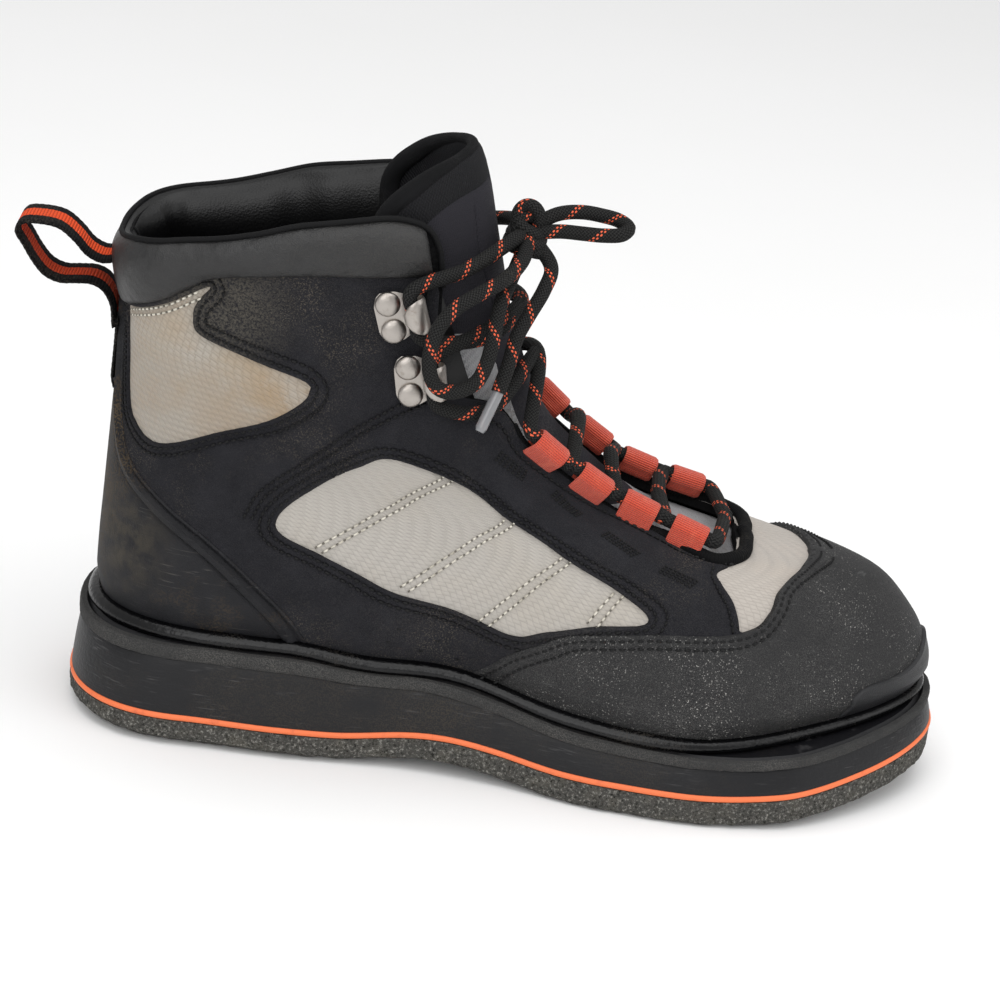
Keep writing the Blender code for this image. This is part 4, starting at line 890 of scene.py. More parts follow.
def woven(name, colour, shadow, stain, soiled, threads, turn, depth, **fixed):
    """Light boot cloth: woven threads, shaded hollows between them and brown stains."""
    made, tree, shader = new_finish(name, colour, 0.82, Sheen_Weight=0.15)
    threads = wire(tree, "Group", {"Threads": threads, "Turn": math.radians(turn)}, node_tree=weave)
    soft = reckon(tree, "MULTIPLY", between(tree, mottle(tree, 0.035, 4.0), 0.42, 0.66), soiled)
    tint(tree, shader, soft, stain)
    hollow_shade = reckon(tree, "MULTIPLY", between(tree, threads.outputs["Height"], 0.60, 0.05), 0.55)
    tint(tree, shader, hollow_shade, shadow)
    tint(tree, shader, reckon(tree, "MULTIPLY", threads.outputs["Over"], 0.12), shadow)
    dusted(tree, shader, stain, **fixed)
    relief(tree, shader, threads.outputs["Height"], depth)
    return made, tree, shader


ankle_cloth, tree, shader = woven("ankle cloth", screen(166, 159, 149), screen(132, 124, 113),
                                  screen(158, 130, 98), 0.35, 560.0, 45.0, 0.00028,
                                  Patch=40.0, Low=0.58, High=0.9)
soiled_spot(tree, shader, screen(156, 130, 96), -0.430, 8.45, 0.034, 0.030, 0.7)
soiled_spot(tree, shader, screen(156, 136, 108), -0.290, 8.60, 0.036, 0.030, 0.5)
side_cloth, _, _ = woven("side ripstop", screen(173, 168, 161), screen(148, 143, 138),
                         screen(176, 168, 156), 0.4, 560.0, 4.0, 0.00012, Low=0.60, High=0.95)
vamp_cloth, _, _ = woven("vamp knit", screen(176, 169, 161), screen(155, 147, 140),
                         screen(184, 172, 160), 0.5, 520.0, 30.0, 0.00014, Low=0.60, High=0.95)
inner_cloth, tree, shader = new_finish("inner lining cloth", screen(20, 20, 21), 0.9,
                                       Specular_IOR_Level=0.15)
threads = wire(tree, "Group", {"Threads": 900.0}, node_tree=weave)
relief(tree, shader, threads.outputs["Height"], 0.0003)

levels = np.linspace(0, COLLAR_LINE[0][1], 14)
heel = np.stack([np.ones(14), levels], -1)
rim = to_ridge(np.vstack([flowing(COLLAR_LINE, 6), flowing(THROAT_LINE, 6)]))
half = np.vstack([heel[:-1], rim])
outline = closed_below(half, 0.0, 120)
side_rows = [beside(flowing(row, 8), apart) for row in SIDE_ROWS for apart in PAIR]
seam_rows = [to_ridge(row) * (side, 1) for side in (-1, 1) for row in side_rows]


def cloth_puff(u, v, d):
    """The cloth stands out a little in the windows, most at the middle of the ankle's."""
    puff = CLOTH_PUFF * np.ones(len(u))
    for window, depth in ((ANKLE_WINDOW, 0.0012), (SIDE_WINDOW, 0.0006)):
        ring = spread(to_ridge(flowing(window, 4, True)))
        flat = spread(np.stack([np.abs(u), v], -1))
        within = inside(ring, flat)
        if within.any():
            edge = distance_to([np.vstack([ring, ring[:1]])], flat[within])
            puff[within] += depth * (1 - np.exp(-edge / 0.006))
    return puff


def cloth_kind(u, v):
    """Which cloth shows: 0 at the ankle, 1 at the side, 2 over the toes, 3 by the throat."""
    way = 1 - np.abs(u)
    seam = np.interp(way, [row[0] for row in QUARTER_SEAM], [row[1] for row in QUARTER_SEAM])
    kind = np.where(way > 0.68, 2, np.where((v > seam) & (way < 0.66), 0, 1))
    return np.where((v > 6.2) & (way > 0.60), 3, kind)


def just(height):
    return lambda u, v, d: np.full(len(u), height)


panel("upper_cloth", [outline], from_ridge, cloth_puff, just(-UPPER_WALL),
      [ankle_cloth, side_cloth, vamp_cloth, inner_cloth], ["upper"], seam_rows,
      spacing=0.0034, dip=0.0004, which=cloth_kind, under=3)

# ---------------------------------------------------------------------------------------------
# The bead: a round, glossy black rubber cord moulded over the seam of upper and midsole.
# ---------------------------------------------------------------------------------------------
BEAD_HEIGHT_LEVELS = 0.50
BEAD_DEPTH = 0.0044

gloss, tree, shader = new_finish("glossy rubber", screen(11, 11, 13), 0.24,
                                 Specular_IOR_Level=0.34)
pitted(tree, shader, 0.00025, 0.002, 3.0)
dusted(tree, shader, screen(70, 66, 60), Low=0.55, High=0.95, Patch=30.0)

count = 460
way = -1 + 2 * np.arange(count) / count
flat_out = outward(way, np.full(count, 0.5)) * (1, 1, 0)
flat_out /= np.linalg.norm(flat_out, axis=1)[:, None]
rows = []
for angle in np.radians(np.linspace(-95, 125, 15)):
    share = (1 + math.sin(angle)) / 2
    base = surface(way, np.full(count, share * BEAD_HEIGHT_LEVELS * 1.04))
    row = base + flat_out * BEAD_DEPTH * (0.42 + 0.92 * math.cos(angle))
    row[:, 2] += seat(row[:, 0]) - seat(base[:, 0])
    rows.append(row)
rows.append(surface(way, np.full(count, 0.3)) - flat_out * 0.0012)
faces, _ = lattice(len(rows), count, True, True)
piece("bead", np.vstack(rows), faces, [gloss], ["welt_bead"])

# ---------------------------------------------------------------------------------------------
# The overlays: sheets of black coated nubuck and, at heel and toe, rubbery leather, cut to shape,
# their edges folded or skived, laid over the cloth and sewn on with one or two rows of stitches.
# ---------------------------------------------------------------------------------------------
QUARTER_TOP = 0.0018
GUARD_TOP = 0.0027
BUMPER_TOP = 0.0036
BUMPER_LOW = 0.0020
UNDERSIDE = 0.0002
FOOT_LEVEL = BEAD_HEIGHT_LEVELS - 0.10
COUNTER_ROLL = 0.0019
# How far the rows of stitches lie from the edges that they follow.
COUNTER_ROWS = (0.0020, 0.0062)
CAP_ROWS = (0.0022, 0.0048)
WINDOW_ROWS = (0.0020, 0.0046)
SEAM_PAIR = (0.0012, -0.0012)
THROAT_ROW = 0.0042
STAY_ROW = 0.0022
COUNTER_LINE = (
    (0.344, 0.40), (0.314, 1.50), (0.276, 2.51), (0.236, 3.31), (0.180, 4.03), (0.118, 4.78),
    (0.090, 5.71), (0.072, 7.00), (0.055, 8.50), (0.048, 9.05), (0.042, 9.40),
)
CAP_LINE = (
    (0.470, 0.40), (0.484, 0.90), (0.498, 1.48), (0.524, 2.15), (0.550, 2.68), (0.578, 2.92),
    (0.638, 3.26), (0.694, 3.36), (0.718, 3.48), (0.742, 3.83), (0.780, 4.50), (0.850, 5.05),
    (0.930, 5.33), (1.000, 5.40),
)
CUFF_LINE = (
    (0.000, 9.20), (0.060, 9.35), (0.140, 9.75), (0.220, 10.15), (0.284, 10.55), (0.338, 10.85),
    (0.400, 10.95), (0.500, 11.00), (0.620, 10.95), (0.715, 10.95),
)
BUMPER_LINE = (
    (0.790, 0.40), (0.800, 0.85), (0.806, 1.20), (0.832, 1.38), (0.862, 1.37), (0.894, 1.43),
    (0.934, 1.63), (0.968, 1.90), (1.000, 2.02),
)
EYESTAY_END = (
    (0.702, 3.40), (0.712, 4.13), (0.722, 4.75), (0.740, 5.15), (0.780, 5.40), (0.840, 5.66),
    (0.900, 5.90), (0.960, 6.05), (1.000, 6.09),
)

# Leather grain: small cells with creases between them, and a slower change of tone.
grain, takes, gives = effect("leather grain", {"Cells": 1500.0}, ["Height", "Tone"])
place = wire(grain, "TexCoord").outputs["Object"]
cells = wire(grain, "TexVoronoi", {"Vector": place, "Scale": takes["Cells"]},
             feature="F1").outputs["Distance"]
pores = reckon(grain, "MULTIPLY", clouds(grain, place, 3200.0, 3.0), 0.6)
grain.links.new(reckon(grain, "ADD", cells, pores), gives["Height"])
tone = clouds(grain, place, 90.0, 5.0, 0.6)
grain.links.new(between(grain, tone, 0.35, 0.75), gives["Tone"])


def hide(name, colour, light, roughness, depth, cells=1500.0, **fixed):
    """Coated leather: grain, and a tone that wanders between two colours."""
    made, tree, shader = new_finish(name, colour, roughness, **fixed)
    skin = wire(tree, "Group", {"Cells": cells}, node_tree=grain)
    tint(tree, shader, skin.outputs["Tone"], light)
    relief(tree, shader, skin.outputs["Height"], depth)
    return made, tree, shader


nubuck, tree, shader = hide("black nubuck", screen(30, 30, 34), screen(38, 38, 42), 0.85, 0.00025,
                            2600.0, Specular_IOR_Level=0.22)
dusted(tree, shader, screen(60, 59, 60), Patch=12.0, Low=0.15, High=1.20, Grain=2600.0)
dusted(tree, shader, screen(112, 104, 92), Patch=20.0, Low=0.48, High=0.85, Grain=1900.0,
       Sparse=0.52)
soiled_spot(tree, shader, screen(92, 88, 80), -0.340, 10.20, 0.032, 0.0008, 0.7)
soiled_spot(tree, shader, screen(78, 76, 74), -0.560, 1.50, 0.035, 0.0008, 0.6)
counter_hide, tree, shader = hide("counter leather", screen(26, 26, 29), screen(33, 33, 36), 0.62,
                                  0.00020, 2000.0, Specular_IOR_Level=0.3)
dusted(tree, shader, screen(98, 82, 60), Patch=18.0, Low=0.46, High=0.80, Grain=1300.0)
scuffed(tree, shader, screen(70, 68, 66), Share=0.64)
soiled_spot(tree, shader, screen(72, 66, 55), -0.120, 2.50, 0.026, 0.0070, 0.55)
cap_hide, tree, shader = hide("toe cap leather", screen(24, 24, 26), screen(31, 31, 32), 0.55,
                              0.00016, 2300.0, Specular_IOR_Level=0.35)
dusted(tree, shader, screen(76, 75, 74), Patch=14.0, Low=0.30, High=0.80, Grain=2600.0)
dusted(tree, shader, screen(206, 204, 198), Patch=26.0, Low=0.40, High=0.72, Grain=1500.0,
       Sparse=0.60)
scuffed(tree, shader, screen(66, 66, 66), Share=0.62)
bumper_rubber, tree, shader = hide("bumper rubber", screen(32, 32, 34), screen(38, 38, 40), 0.5,
                                   0.00010, 2600.0, Specular_IOR_Level=0.4)
scuffed(tree, shader, screen(64, 64, 64), Share=0.60)


def rounded(share):
    """0 at share 0, rising to 1 at share 1 by a quarter circle."""
    return np.sqrt(1 - (1 - np.clip(share, 0, 1)) ** 2)


def folded(full, edge, roll=0.0, roll_width=0.003, low_edge=0.0004):
    """Height of a sheet with a rounded edge, and a roll along the edge where it is folded."""
    def height(u, v, d):
        bulge = roll * np.sin(np.clip(d / roll_width, 0, 1) * math.pi) ** 0.8
        near_bead = 0.35 + 0.65 * np.clip((v - FOOT_LEVEL) / 0.55, 0, 1)
        return (low_edge + (full - low_edge) * rounded(d / edge) + bulge) * near_bead
    return height


def at_line(line, height, roll, width):
    """A height that also swells in a band along a line given in the panel's own coordinates."""
    flat = spread(line)

    def made(u, v, d):
        gap = distance_to([flat], spread(np.stack([u, v], -1)))
        return height(u, v, d) + roll * np.exp(-((gap - width / 2) / (width * 0.22)) ** 2)
    return made


counter = flowing(COUNTER_LINE, 8)
counter_edge = np.vstack([counter, opposite(counter)])
panel("counter", [closed_below(counter, FOOT_LEVEL, 60)], raised,
      at_line(counter_edge, folded(GUARD_TOP, 0.0007), COUNTER_ROLL, 0.0082), just(UNDERSIDE),
      [counter_hide], ["heel_counter"],
      [beside(counter, apart) * (side, 1) for apart in COUNTER_ROWS for side in (1, -1)],
      spacing=0.0026, dip=0.0012)

cap = flowing(CAP_LINE, 8)
cap_ring = closed_below(to_ridge(cap), FOOT_LEVEL, 120)
cap_rows = [beside(cap, -apart) for apart in CAP_ROWS]
panel("toe_guard", [cap_ring], from_ridge, folded(GUARD_TOP, 0.0009, 0.0003), just(UNDERSIDE),
      [cap_hide], ["toe_cap"],
      [to_ridge(row) * (side, 1) for row in cap_rows for side in (-1, 1)], dip=0.0004)

bumper_ring = closed_below(to_ridge(flowing(BUMPER_LINE, 8)), FOOT_LEVEL, 60)
panel("bumper", [bumper_ring], from_ridge, folded(BUMPER_TOP, 0.0010, 0.0004, 0.0022, 0.0024),
      just(BUMPER_LOW), [bumper_rubber], ["toe_bumper"])

heel = counter[counter[:, 1] < 9.2] - (0.010, 0)
toe = cap[cap[:, 0] < EYESTAY_END[0][0] + 0.01] + (0.006, -0.16)
stay = flowing(EYESTAY_END, 8)
stay = stay[stay[:, 0] < 0.998]
throat = np.array(THROAT_LINE)
inner_edge = throat - (0.006, 0.0)
inner_edge[-5:] = throat[-5:] - (0.0, 0.05)
inner_edge = flowing(inner_edge[inner_edge[:, 1] < 11.1], 8)
inner_edge = inner_edge[inner_edge[:, 0] < 0.998]
cuff = flowing(CUFF_LINE, 8) + (0, 0.12)
cuff = cuff[(cuff[:, 0] > heel[-1, 0] + 0.004) & (cuff[:, 0] < inner_edge[0, 0] - 0.004)]
quarter_ring = ring_of(level_run(heel[0, 0], toe[0, 0], FOOT_LEVEL, 30), toe[1:], stay,
                       inner_edge[::-1], cuff[::-1], heel[::-1][:-1])
ankle = flowing(ANKLE_WINDOW, 8, True)
side_hole = flowing(SIDE_WINDOW, 8, True)


def around(ring, distance):
    """A line round the outside of a window, at a distance from its edge."""
    closed = np.vstack([ring, ring[:2]])
    moved = beside(closed, distance)
    gap = distance_to([spread(closed)], spread(moved))
    return moved[gap > abs(distance) * 0.95]


seam = flowing(QUARTER_SEAM, 10)
throat_row = beside(inner_edge, -THROAT_ROW)
quarter_rows = [*(around(hole, apart) for hole in (ankle, side_hole) for apart in WINDOW_ROWS),
                *(beside(seam, apart) for apart in SEAM_PAIR),
                throat_row[throat_row[:, 0] < 0.785],
                beside(stay[stay[:, 0] < 0.745], STAY_ROW)]
for name, node, side in (("quarter_outer", "quarter_lateral", -1),
                         ("quarter_inner", "quarter_medial", 1)):
    panel(name, [to_ridge(ring) * (side, 1) for ring in (quarter_ring, ankle, side_hole)],
          from_ridge, folded(QUARTER_TOP, 0.0007, 0.00025, 0.0022, 0.0005), just(UNDERSIDE),
          [nubuck], [node],
          [to_ridge(row) * (side, 1) for row in quarter_rows], dip=0.00055)

# ---------------------------------------------------------------------------------------------
# The stitching: waxed thread, black on the leather and cream on the light cloth, about 2 mm a
# stitch, each lying in the seam's hollow with its ends drawn down.
# ---------------------------------------------------------------------------------------------
STITCH = 0.0023
THREAD = 0.00040
# The rings of points of a stitch: where along it, and girth and lift in thread widths.
STITCH_RINGS = ((-0.5, 0.5, -1.5), (-0.3, 1.0, 0.2), (0.0, 1.1, 0.55), (0.3, 1.0, 0.2),
                (0.5, 0.5, -1.5))
BAR_TACKS = (((0.701, 8.21), (0.715, 7.78)), ((0.733, 7.49), (0.709, 6.81)),
             ((0.690, 6.28), (0.671, 5.51)), ((0.674, 5.13), (0.689, 4.66)))
TACK_ROWS = (-0.0015, -0.0005, 0.0005, 0.0015)
CUFF_ROWS = (0.0022, 0.0044)
PINHOLES = ((0.414, 1.46), (0.406, 1.01), (0.444, 1.23), (0.432, 0.83), (0.461, 0.78))
PINHOLE_REACH = 0.002

black_thread, tree, shader = new_finish("black thread", screen(16, 16, 17), 0.6,
                                        Specular_IOR_Level=0.3)
pitted(tree, shader, 0.0001, 0.0004)
cream_thread, tree, shader = new_finish("cream thread", screen(212, 207, 194), 0.7)
patched(tree, shader, 0.008, 0.45, 0.7, screen(168, 162, 148))
# Painted shade: a dark grey finish for short stubs that stand for the shade in the needle holes
# between cream stitches.
hole_shade_finish, tree, shader = new_finish("needle hole shade", screen(104, 100, 92), 0.9)
pitted(tree, shader, 0.0001, 0.0004)


def end_faces(rows, columns):
    """The two faces that close a tube of rows round its columns."""
    return [list(range(columns))[::-1], list(range((rows - 1) * columns, rows * columns))]


def stitched(name, rows, finish, length=STITCH, thread=THREAD, fill=0.82, start=0.5):
    """Stitches along rows of (line, height), each stitch a thread with its ends drawn down.

    fill is the share of its length that a stitch fills, and start where its middle lies.
    """
    points, faces, base = [], [], 0
    quads = lattice(5, 6, columns_closed=True)[0].tolist() + end_faces(5, 6)
    for line, height in rows:
        flat = evenly(spread(line), length)
        way, level = gathered(flat).T
        middle_way = way[:-1] + np.diff(way) * start
        middle_level = level[:-1] + np.diff(level) * start
        tall = np.full(len(middle_way), height)
        centre = raised(middle_way, middle_level, tall)
        out = outward(middle_way, middle_level)
        ends = raised(way, level, np.full(len(way), height))
        along = np.diff(ends, axis=0)
        side = np.cross(out, along)
        side /= np.linalg.norm(side, axis=1)[:, None] + 1e-12
        for c, o, a, s in zip(centre, out, along * fill, side):
            for share, girth, lift in STITCH_RINGS:
                for k in range(6):
                    angle = k * math.pi / 3
                    points.append(c + a * share + o * thread * (lift + math.sin(angle) * girth)
                                  + s * thread * girth * math.cos(angle))
            faces.extend([i + base for i in quad] for quad in quads)
            base += 30
    return piece(name, points, faces, [finish], sharp=60.0)


under_cuff = flowing(CUFF_LINE, 8)
under_cuff = under_cuff[(under_cuff[:, 0] > 0.085) & (under_cuff[:, 0] < 0.30)]
dark_rows, cream_rows, tack_rows = [], [], []
for side in (-1, 1):
    dark_rows += [(row * (side, 1), QUARTER_TOP) for row in quarter_rows]
    dark_rows += [(row[row[:, 0] < 0.999] * (side, 1), GUARD_TOP - 0.0001) for row in cap_rows]
    cream_rows += [(row * (side, 1), 0.0010) for row in side_rows]
    cream_rows += [(beside(under_cuff, -drop) * (side, 1), 0.0012) for drop in CUFF_ROWS]
    tack_rows += [(beside(np.linspace(*tack, 8), apart) * (side, 1), QUARTER_TOP + 0.0001)
                  for tack in BAR_TACKS for apart in TACK_ROWS]
stitched("stitches_dark", dark_rows, black_thread)
stitched("bar_tacks", tack_rows, black_thread, 0.0015, 0.00036)
stitched("stitches_cream", cream_rows, cream_thread, 0.0025, 0.00034, 0.74)
# Painted shade in the needle holes: dark stubs in the gaps between the cream stitches.
stitched("needle_hole_shade", cream_rows, hole_shade_finish, 0.0025, 0.00034, 0.30, 0.0)
# Painted shade: small stubs of black thread stand for the shade inside the quarters' pinholes.
pinhole_shade = [(level_run(way - PINHOLE_REACH, way + PINHOLE_REACH, level, 3) * (side, 1),
             QUARTER_TOP - 0.0002) for way, level in PINHOLES for side in (-1, 1)]
stitched("pinhole_shade", pinhole_shade, black_thread, 0.0008, 0.00042)

# ---------------------------------------------------------------------------------------------
# The collar: an outer cuff of smooth black synthetic over foam, a fine piping along its top and
# a glossy padded lining that is sewn to the piping and turns down inside the boot.
# ---------------------------------------------------------------------------------------------
CUFF_TOP = 0.0029
CUFF_END = 0.712
PIPING = 0.0021
LINING_SEAM = 0.0014
LINING_END = 0.715
# Rows of the cuff's surface, in shares of its height.
CUFF_SHARES = (0.0, 0.0, 0.006, 0.02, 0.05, 0.1, 0.18, 0.28, 0.4, 0.52, 0.64, 0.76, 0.86, 0.94, 1.0)
# Rows of the lining: how many levels below the rim, and how high over the upper's surface.
LINING_DROPS = ((-0.02, 0.0008), (-0.06, 0.0), (-0.05, -0.0014), (0.02, -0.0032), (0.16, -0.0050),
                (0.36, -0.0064), (0.62, -0.0074), (0.95, -0.0080), (1.35, -0.0078),
                (1.75, -0.0070), (2.15, -0.0058), (2.5, -0.0046), (2.8, -0.0036), (3.0, -0.0028))
BAND_STEP = 0.002
TUBE_START = (0.31, 0.87, 0.38)

cuff_hide, tree, shader = hide("cuff synthetic", screen(27, 27, 28), screen(34, 34, 35), 0.40,
                               0.00014, 2400.0, Specular_IOR_Level=0.5)
pitted(tree, shader, 0.0022, 0.016, 3.0)
dusted(tree, shader, screen(66, 64, 60), Patch=16.0, Low=0.35, High=0.95, Grain=2300.0)
lining_hide, tree, shader = hide("lining synthetic", screen(10, 10, 11), screen(14, 14, 15), 0.36,
                                 0.00006, 1300.0, Specular_IOR_Level=0.36)
piping_cloth, tree, shader = new_finish("piping", screen(20, 20, 21), 0.75, Specular_IOR_Level=0.2)
pitted(tree, shader, 0.0003, 0.0007, 4.0)


def tube_rings(line, radii, sides):
    """Rings of points round a line, carried along it without twisting."""
    tangent = np.gradient(line, axis=0)
    tangent /= np.linalg.norm(tangent, axis=1)[:, None]
    normal = np.cross(tangent[0], TUBE_START)
    normal /= np.linalg.norm(normal)
    angles = np.arange(sides) / sides * 2 * math.pi
    rings = []
    for place, ahead, radius in zip(line, tangent, radii):
        normal = normal - ahead * normal.dot(ahead)
        normal /= np.linalg.norm(normal)
        other = np.cross(ahead, normal)
        rings.append(place + radius * (np.cos(angles)[:, None] * normal
                                       + np.sin(angles)[:, None] * other))
    return np.array(rings)


def banded(name, points, ends, along, across, finish, slot, nodes=(), sharp=60.0, **closed):
    """A piece of a grid of points with end faces, and cloth coordinates in metres.

    along(row, column) and across(row, column) give the coordinates of a corner.
    """
    rows, columns = np.shape(points)[:2]
    faces, corners = lattice(rows, columns, **closed)
    row, column = corners[..., 0], corners[..., 1]
    uv = np.stack([along(row, column), across(row, column)], -1).reshape(-1, 2)
    uv = np.vstack([uv, np.zeros((sum(len(face) for face in ends), 2))])
    return piece(name, points, faces.tolist() + ends, [finish], nodes, uv, sharp=sharp)


def tube(name, line, radii, finish, slot, nodes=(), sides=16, closed=False):
    """A round cord: its cloth coordinates run in metres along it and 0 to 1 round it."""
    rings = tube_rings(line, np.broadcast_to(radii, len(line)), sides)
    if closed:
        rings = rings[:-1]
    run = run_of(line)
    return banded(name, rings, [] if closed else end_faces(len(rings), sides),
                  lambda row, column: run[row], lambda row, column: column / sides,
                  finish, slot, nodes, rows_closed=closed, columns_closed=True)


def collar_grid(name, reach, count, section, finish, slot, nodes=()):
    """A band round the collar, from one side of the throat round the heel to the other.

    section(way, upper, lower) gives rows of (level, height) for its surface.
    """
    way = np.linspace(-reach, reach, count)
    upper = table_curve(COLLAR_LINE, np.abs(way))
    lower = table_curve(CUFF_LINE, np.abs(way))
    points = np.array([raised(way, level, np.full(count, 1.0) * height)
                       for level, height in section(way, upper, lower)])
    flat = spread(np.stack([way, upper], -1))[:, 0]
    starts = [row * count for row in range(len(points))]
    made = banded(name, points, [starts, [start + count - 1 for start in starts[::-1]]],
                  lambda row, column: flat[column], lambda row, column: row * BAND_STEP,
                  finish, slot, nodes, 50.0, rows_closed=True)


def end_fade(way, reach, over=0.035):
    """1 along the collar, falling to 0 in a round end beside the throat."""
    return rounded((reach - np.abs(way)) / over)


def cuff_section(way, upper, lower):
    rows = []
    fade = 0.35 + 0.65 * end_fade(way, CUFF_END)
    crease = 0.0004 * np.sin(way * 23) * np.sin(way * 7 + 1)
    for share in CUFF_SHARES:
        level = lower + (upper - lower) * share
        base = 0.0003 if not rows else CUFF_TOP * min(1, 0.45 + (share / 0.05) ** 0.5 * 0.55)
        puff = 0.0027 * math.sin(math.pi * share) ** 0.7
        height = base + (puff + crease * math.sin(math.pi * share)) * fade
        if share > 0.8:
            height = height * (1 - (share - 0.8) * 2.4)
        rows.append((level, height))
    return rows + [(upper + 0.01, -0.0005), (lower, -0.0005)]


collar_grid("cuff", CUFF_END, 300, cuff_section, cuff_hide, "synthetic_leather", ["collar_cuff"])


def lining_section(way, upper, lower):
    away = np.abs(way)
    swell = 0.55 + 0.45 * np.clip(away / 0.12, 0, 1) - 0.35 * np.clip((away - 0.6) / 0.1, 0, 1)
    wrinkle = 0.0006 * np.sin(way * 31 + np.sin(way * 13) * 2) * np.clip(away / 0.05, 0, 1)
    rows = [(upper - drop, deep * (swell if deep < -0.002 else 1.0)
             + (wrinkle if deep < -0.004 else 0.0)) for drop, deep in LINING_DROPS]
    return rows + [(upper - 3.0, -0.0015), (upper - 0.3, -0.0008)]


collar_grid("collar_lining", LINING_END, 320, lining_section, lining_hide, "lining")
seam_levels = np.linspace(11.62, 8.8, 60)
depths = np.interp(11.7 - seam_levels, (0.05, 0.3, 0.6, 1.3, 2.2, 3.0),
                   (-0.0020, -0.0036, -0.0042, -0.0044, -0.0034, -0.0026))
back_seam = raised(np.zeros(60), seam_levels, depths)
tube("lining_seam", back_seam, LINING_SEAM / 2, piping_cloth, "lining", sides=8)

rim = flowing(COLLAR_LINE, 10)
rim_tail = flowing(THROAT_LINE[:4], 8)[1:]
rim = np.vstack([rim, rim_tail[rim_tail[:, 1] > 10.7]])
rim = np.vstack([opposite(rim), rim[1:]])
ring = evenly(spread(rim), 0.0015)
way, level = gathered(ring).T
tail = np.clip((11.4 - level) / 0.6, 0, 1)
line = raised(way, level + 0.05 * (1 - tail), 0.0011 + 0.0004 * tail)
tube("collar_piping", line, PIPING / 2, piping_cloth, "lining", sides=10)

# ---------------------------------------------------------------------------------------------
# The tongue: black padded cloth with a smooth face panel, sewn to thin grey gussets at its sides;
# a dark band trims its top, and ribbed cloth rolls round its edges.
# ---------------------------------------------------------------------------------------------
TONGUE_THICKNESS = 0.0050
TONGUE_EDGE = 0.0024
TONGUE_EDGE_LINE = (
    (0.00, 12.66), (0.12, 12.62), (0.22, 12.50), (0.30, 12.25), (0.355, 11.90), (0.375, 11.40),
    (0.372, 10.50), (0.36, 9.70), (0.31, 8.70), (0.27, 7.60), (0.26, 6.40), (0.22, 5.40),
    (0.12, 5.02), (0.00, 4.95),
)
TONGUE_RIDGE = ((4.9, 0.80), (6.0, 0.76), (7.0, 0.46), (8.0, 0.44), (9.0, 0.90), (10.0, 0.70),
                (11.0, 0.40), (12.0, 0.50), (12.7, 0.80))
TRIM = 0.0085

# Cords of ribbed cloth, from its flat coordinates: ribs of a pitch along one way.
ribs, takes, gives = effect("ribs", {"Ribs": 1400.0, "Cross": 700.0, "Turn": 0.0}, ["Height"])
cloth = wire(ribs, "TexCoord").outputs["UV"]
turned = wire(ribs, "VectorRotate", {"Vector": cloth, "Angle": takes["Turn"]},
              rotation_type="Z_AXIS").outputs[0]
part = wire(ribs, "SeparateXYZ", {0: turned}).outputs
wave = humps(ribs, reckon(ribs, "MULTIPLY", part[0], takes["Ribs"]))
cross = humps(ribs, reckon(ribs, "MULTIPLY", part[1], takes["Cross"]))
ribs.links.new(reckon(ribs, "ADD", wave, reckon(ribs, "MULTIPLY", cross, 0.35)), gives["Height"])

face_cloth, tree, shader = new_finish("tongue face", screen(42, 41, 46), 0.8,
                                      Specular_IOR_Level=0.25)
threads = wire(tree, "Group", {"Threads": 2000.0}, node_tree=weave)
relief(tree, shader, threads.outputs["Height"], 0.00012)
dusted(tree, shader, screen(84, 82, 80), Low=0.56, High=0.9)
rib_cloth, tree, shader = new_finish("ribbed trim", screen(36, 36, 38), 0.9,
                                     Specular_IOR_Level=0.2)
made = wire(tree, "Group", {"Ribs": 1100.0, "Cross": 1100.0, "Turn": 0.7}, node_tree=ribs)
relief(tree, shader, made.outputs["Height"], 0.0004)
dusted(tree, shader, screen(86, 86, 86), Low=0.50, High=0.9, Grain=1800.0)
gusset_cloth, tree, shader = new_finish("gusset cloth", screen(160, 160, 162), 0.8,
                                        Sheen_Weight=0.2)
threads = wire(tree, "Group", {"Threads": 1500.0, "Turn": 0.5}, node_tree=weave)
# Painted shade: the low parts of the weave are coloured a darker grey.
tint(tree, shader, between(tree, threads.outputs["Height"], 0.5, 0.1), screen(140, 140, 144))
relief(tree, shader, threads.outputs["Height"], 0.0002)
dusted(tree, shader, screen(112, 104, 92), Low=0.48, High=0.8)


def eased(share):
    """A smooth rise from 0 to 1."""
    share = np.clip(share, 0, 1)
    return share * share * (3 - 2 * share)


def tongue_top(across, level):
    """Depth of the tongue's face: under the facings at its edges, up between them."""
    tucked = UPPER_WALL + 4 * GAP
    ridge = TONGUE_THICKNESS * table_curve(TONGUE_RIDGE, level)
    share = np.maximum(eased((np.abs(across) - 0.10) / 0.09), np.clip((6.9 - level) / 0.5, 0, 1))
    return -(ridge * (1 - share) + np.maximum(ridge, tucked) * share)


def tongue_face(u, v, d):
    return tongue_top(u, v) - 0.0014 * (1 - rounded(d / 0.002))


def tongue_back(u, v, d):
    share = np.clip((np.abs(u) - 0.20) / 0.15, 0, 1)
    thick = TONGUE_THICKNESS * (1 - share) + TONGUE_EDGE * share
    return tongue_top(u, v) - thick * (0.6 + 0.4 * rounded(d / 0.003))


def tongue_kind(u, v):
    """0 for the face, 1 for the trim along the top and sides, 2 for the grey gussets."""
    edge = distance_to([spread(tongue_edge)], spread(np.stack([u, v], -1)))
    grey = (v < 10.1) & ((np.abs(u) > 0.175) | (v < 7.4))
    return np.where(grey, 2, np.where((edge < TRIM) & (v > 10.2), 1, 0))


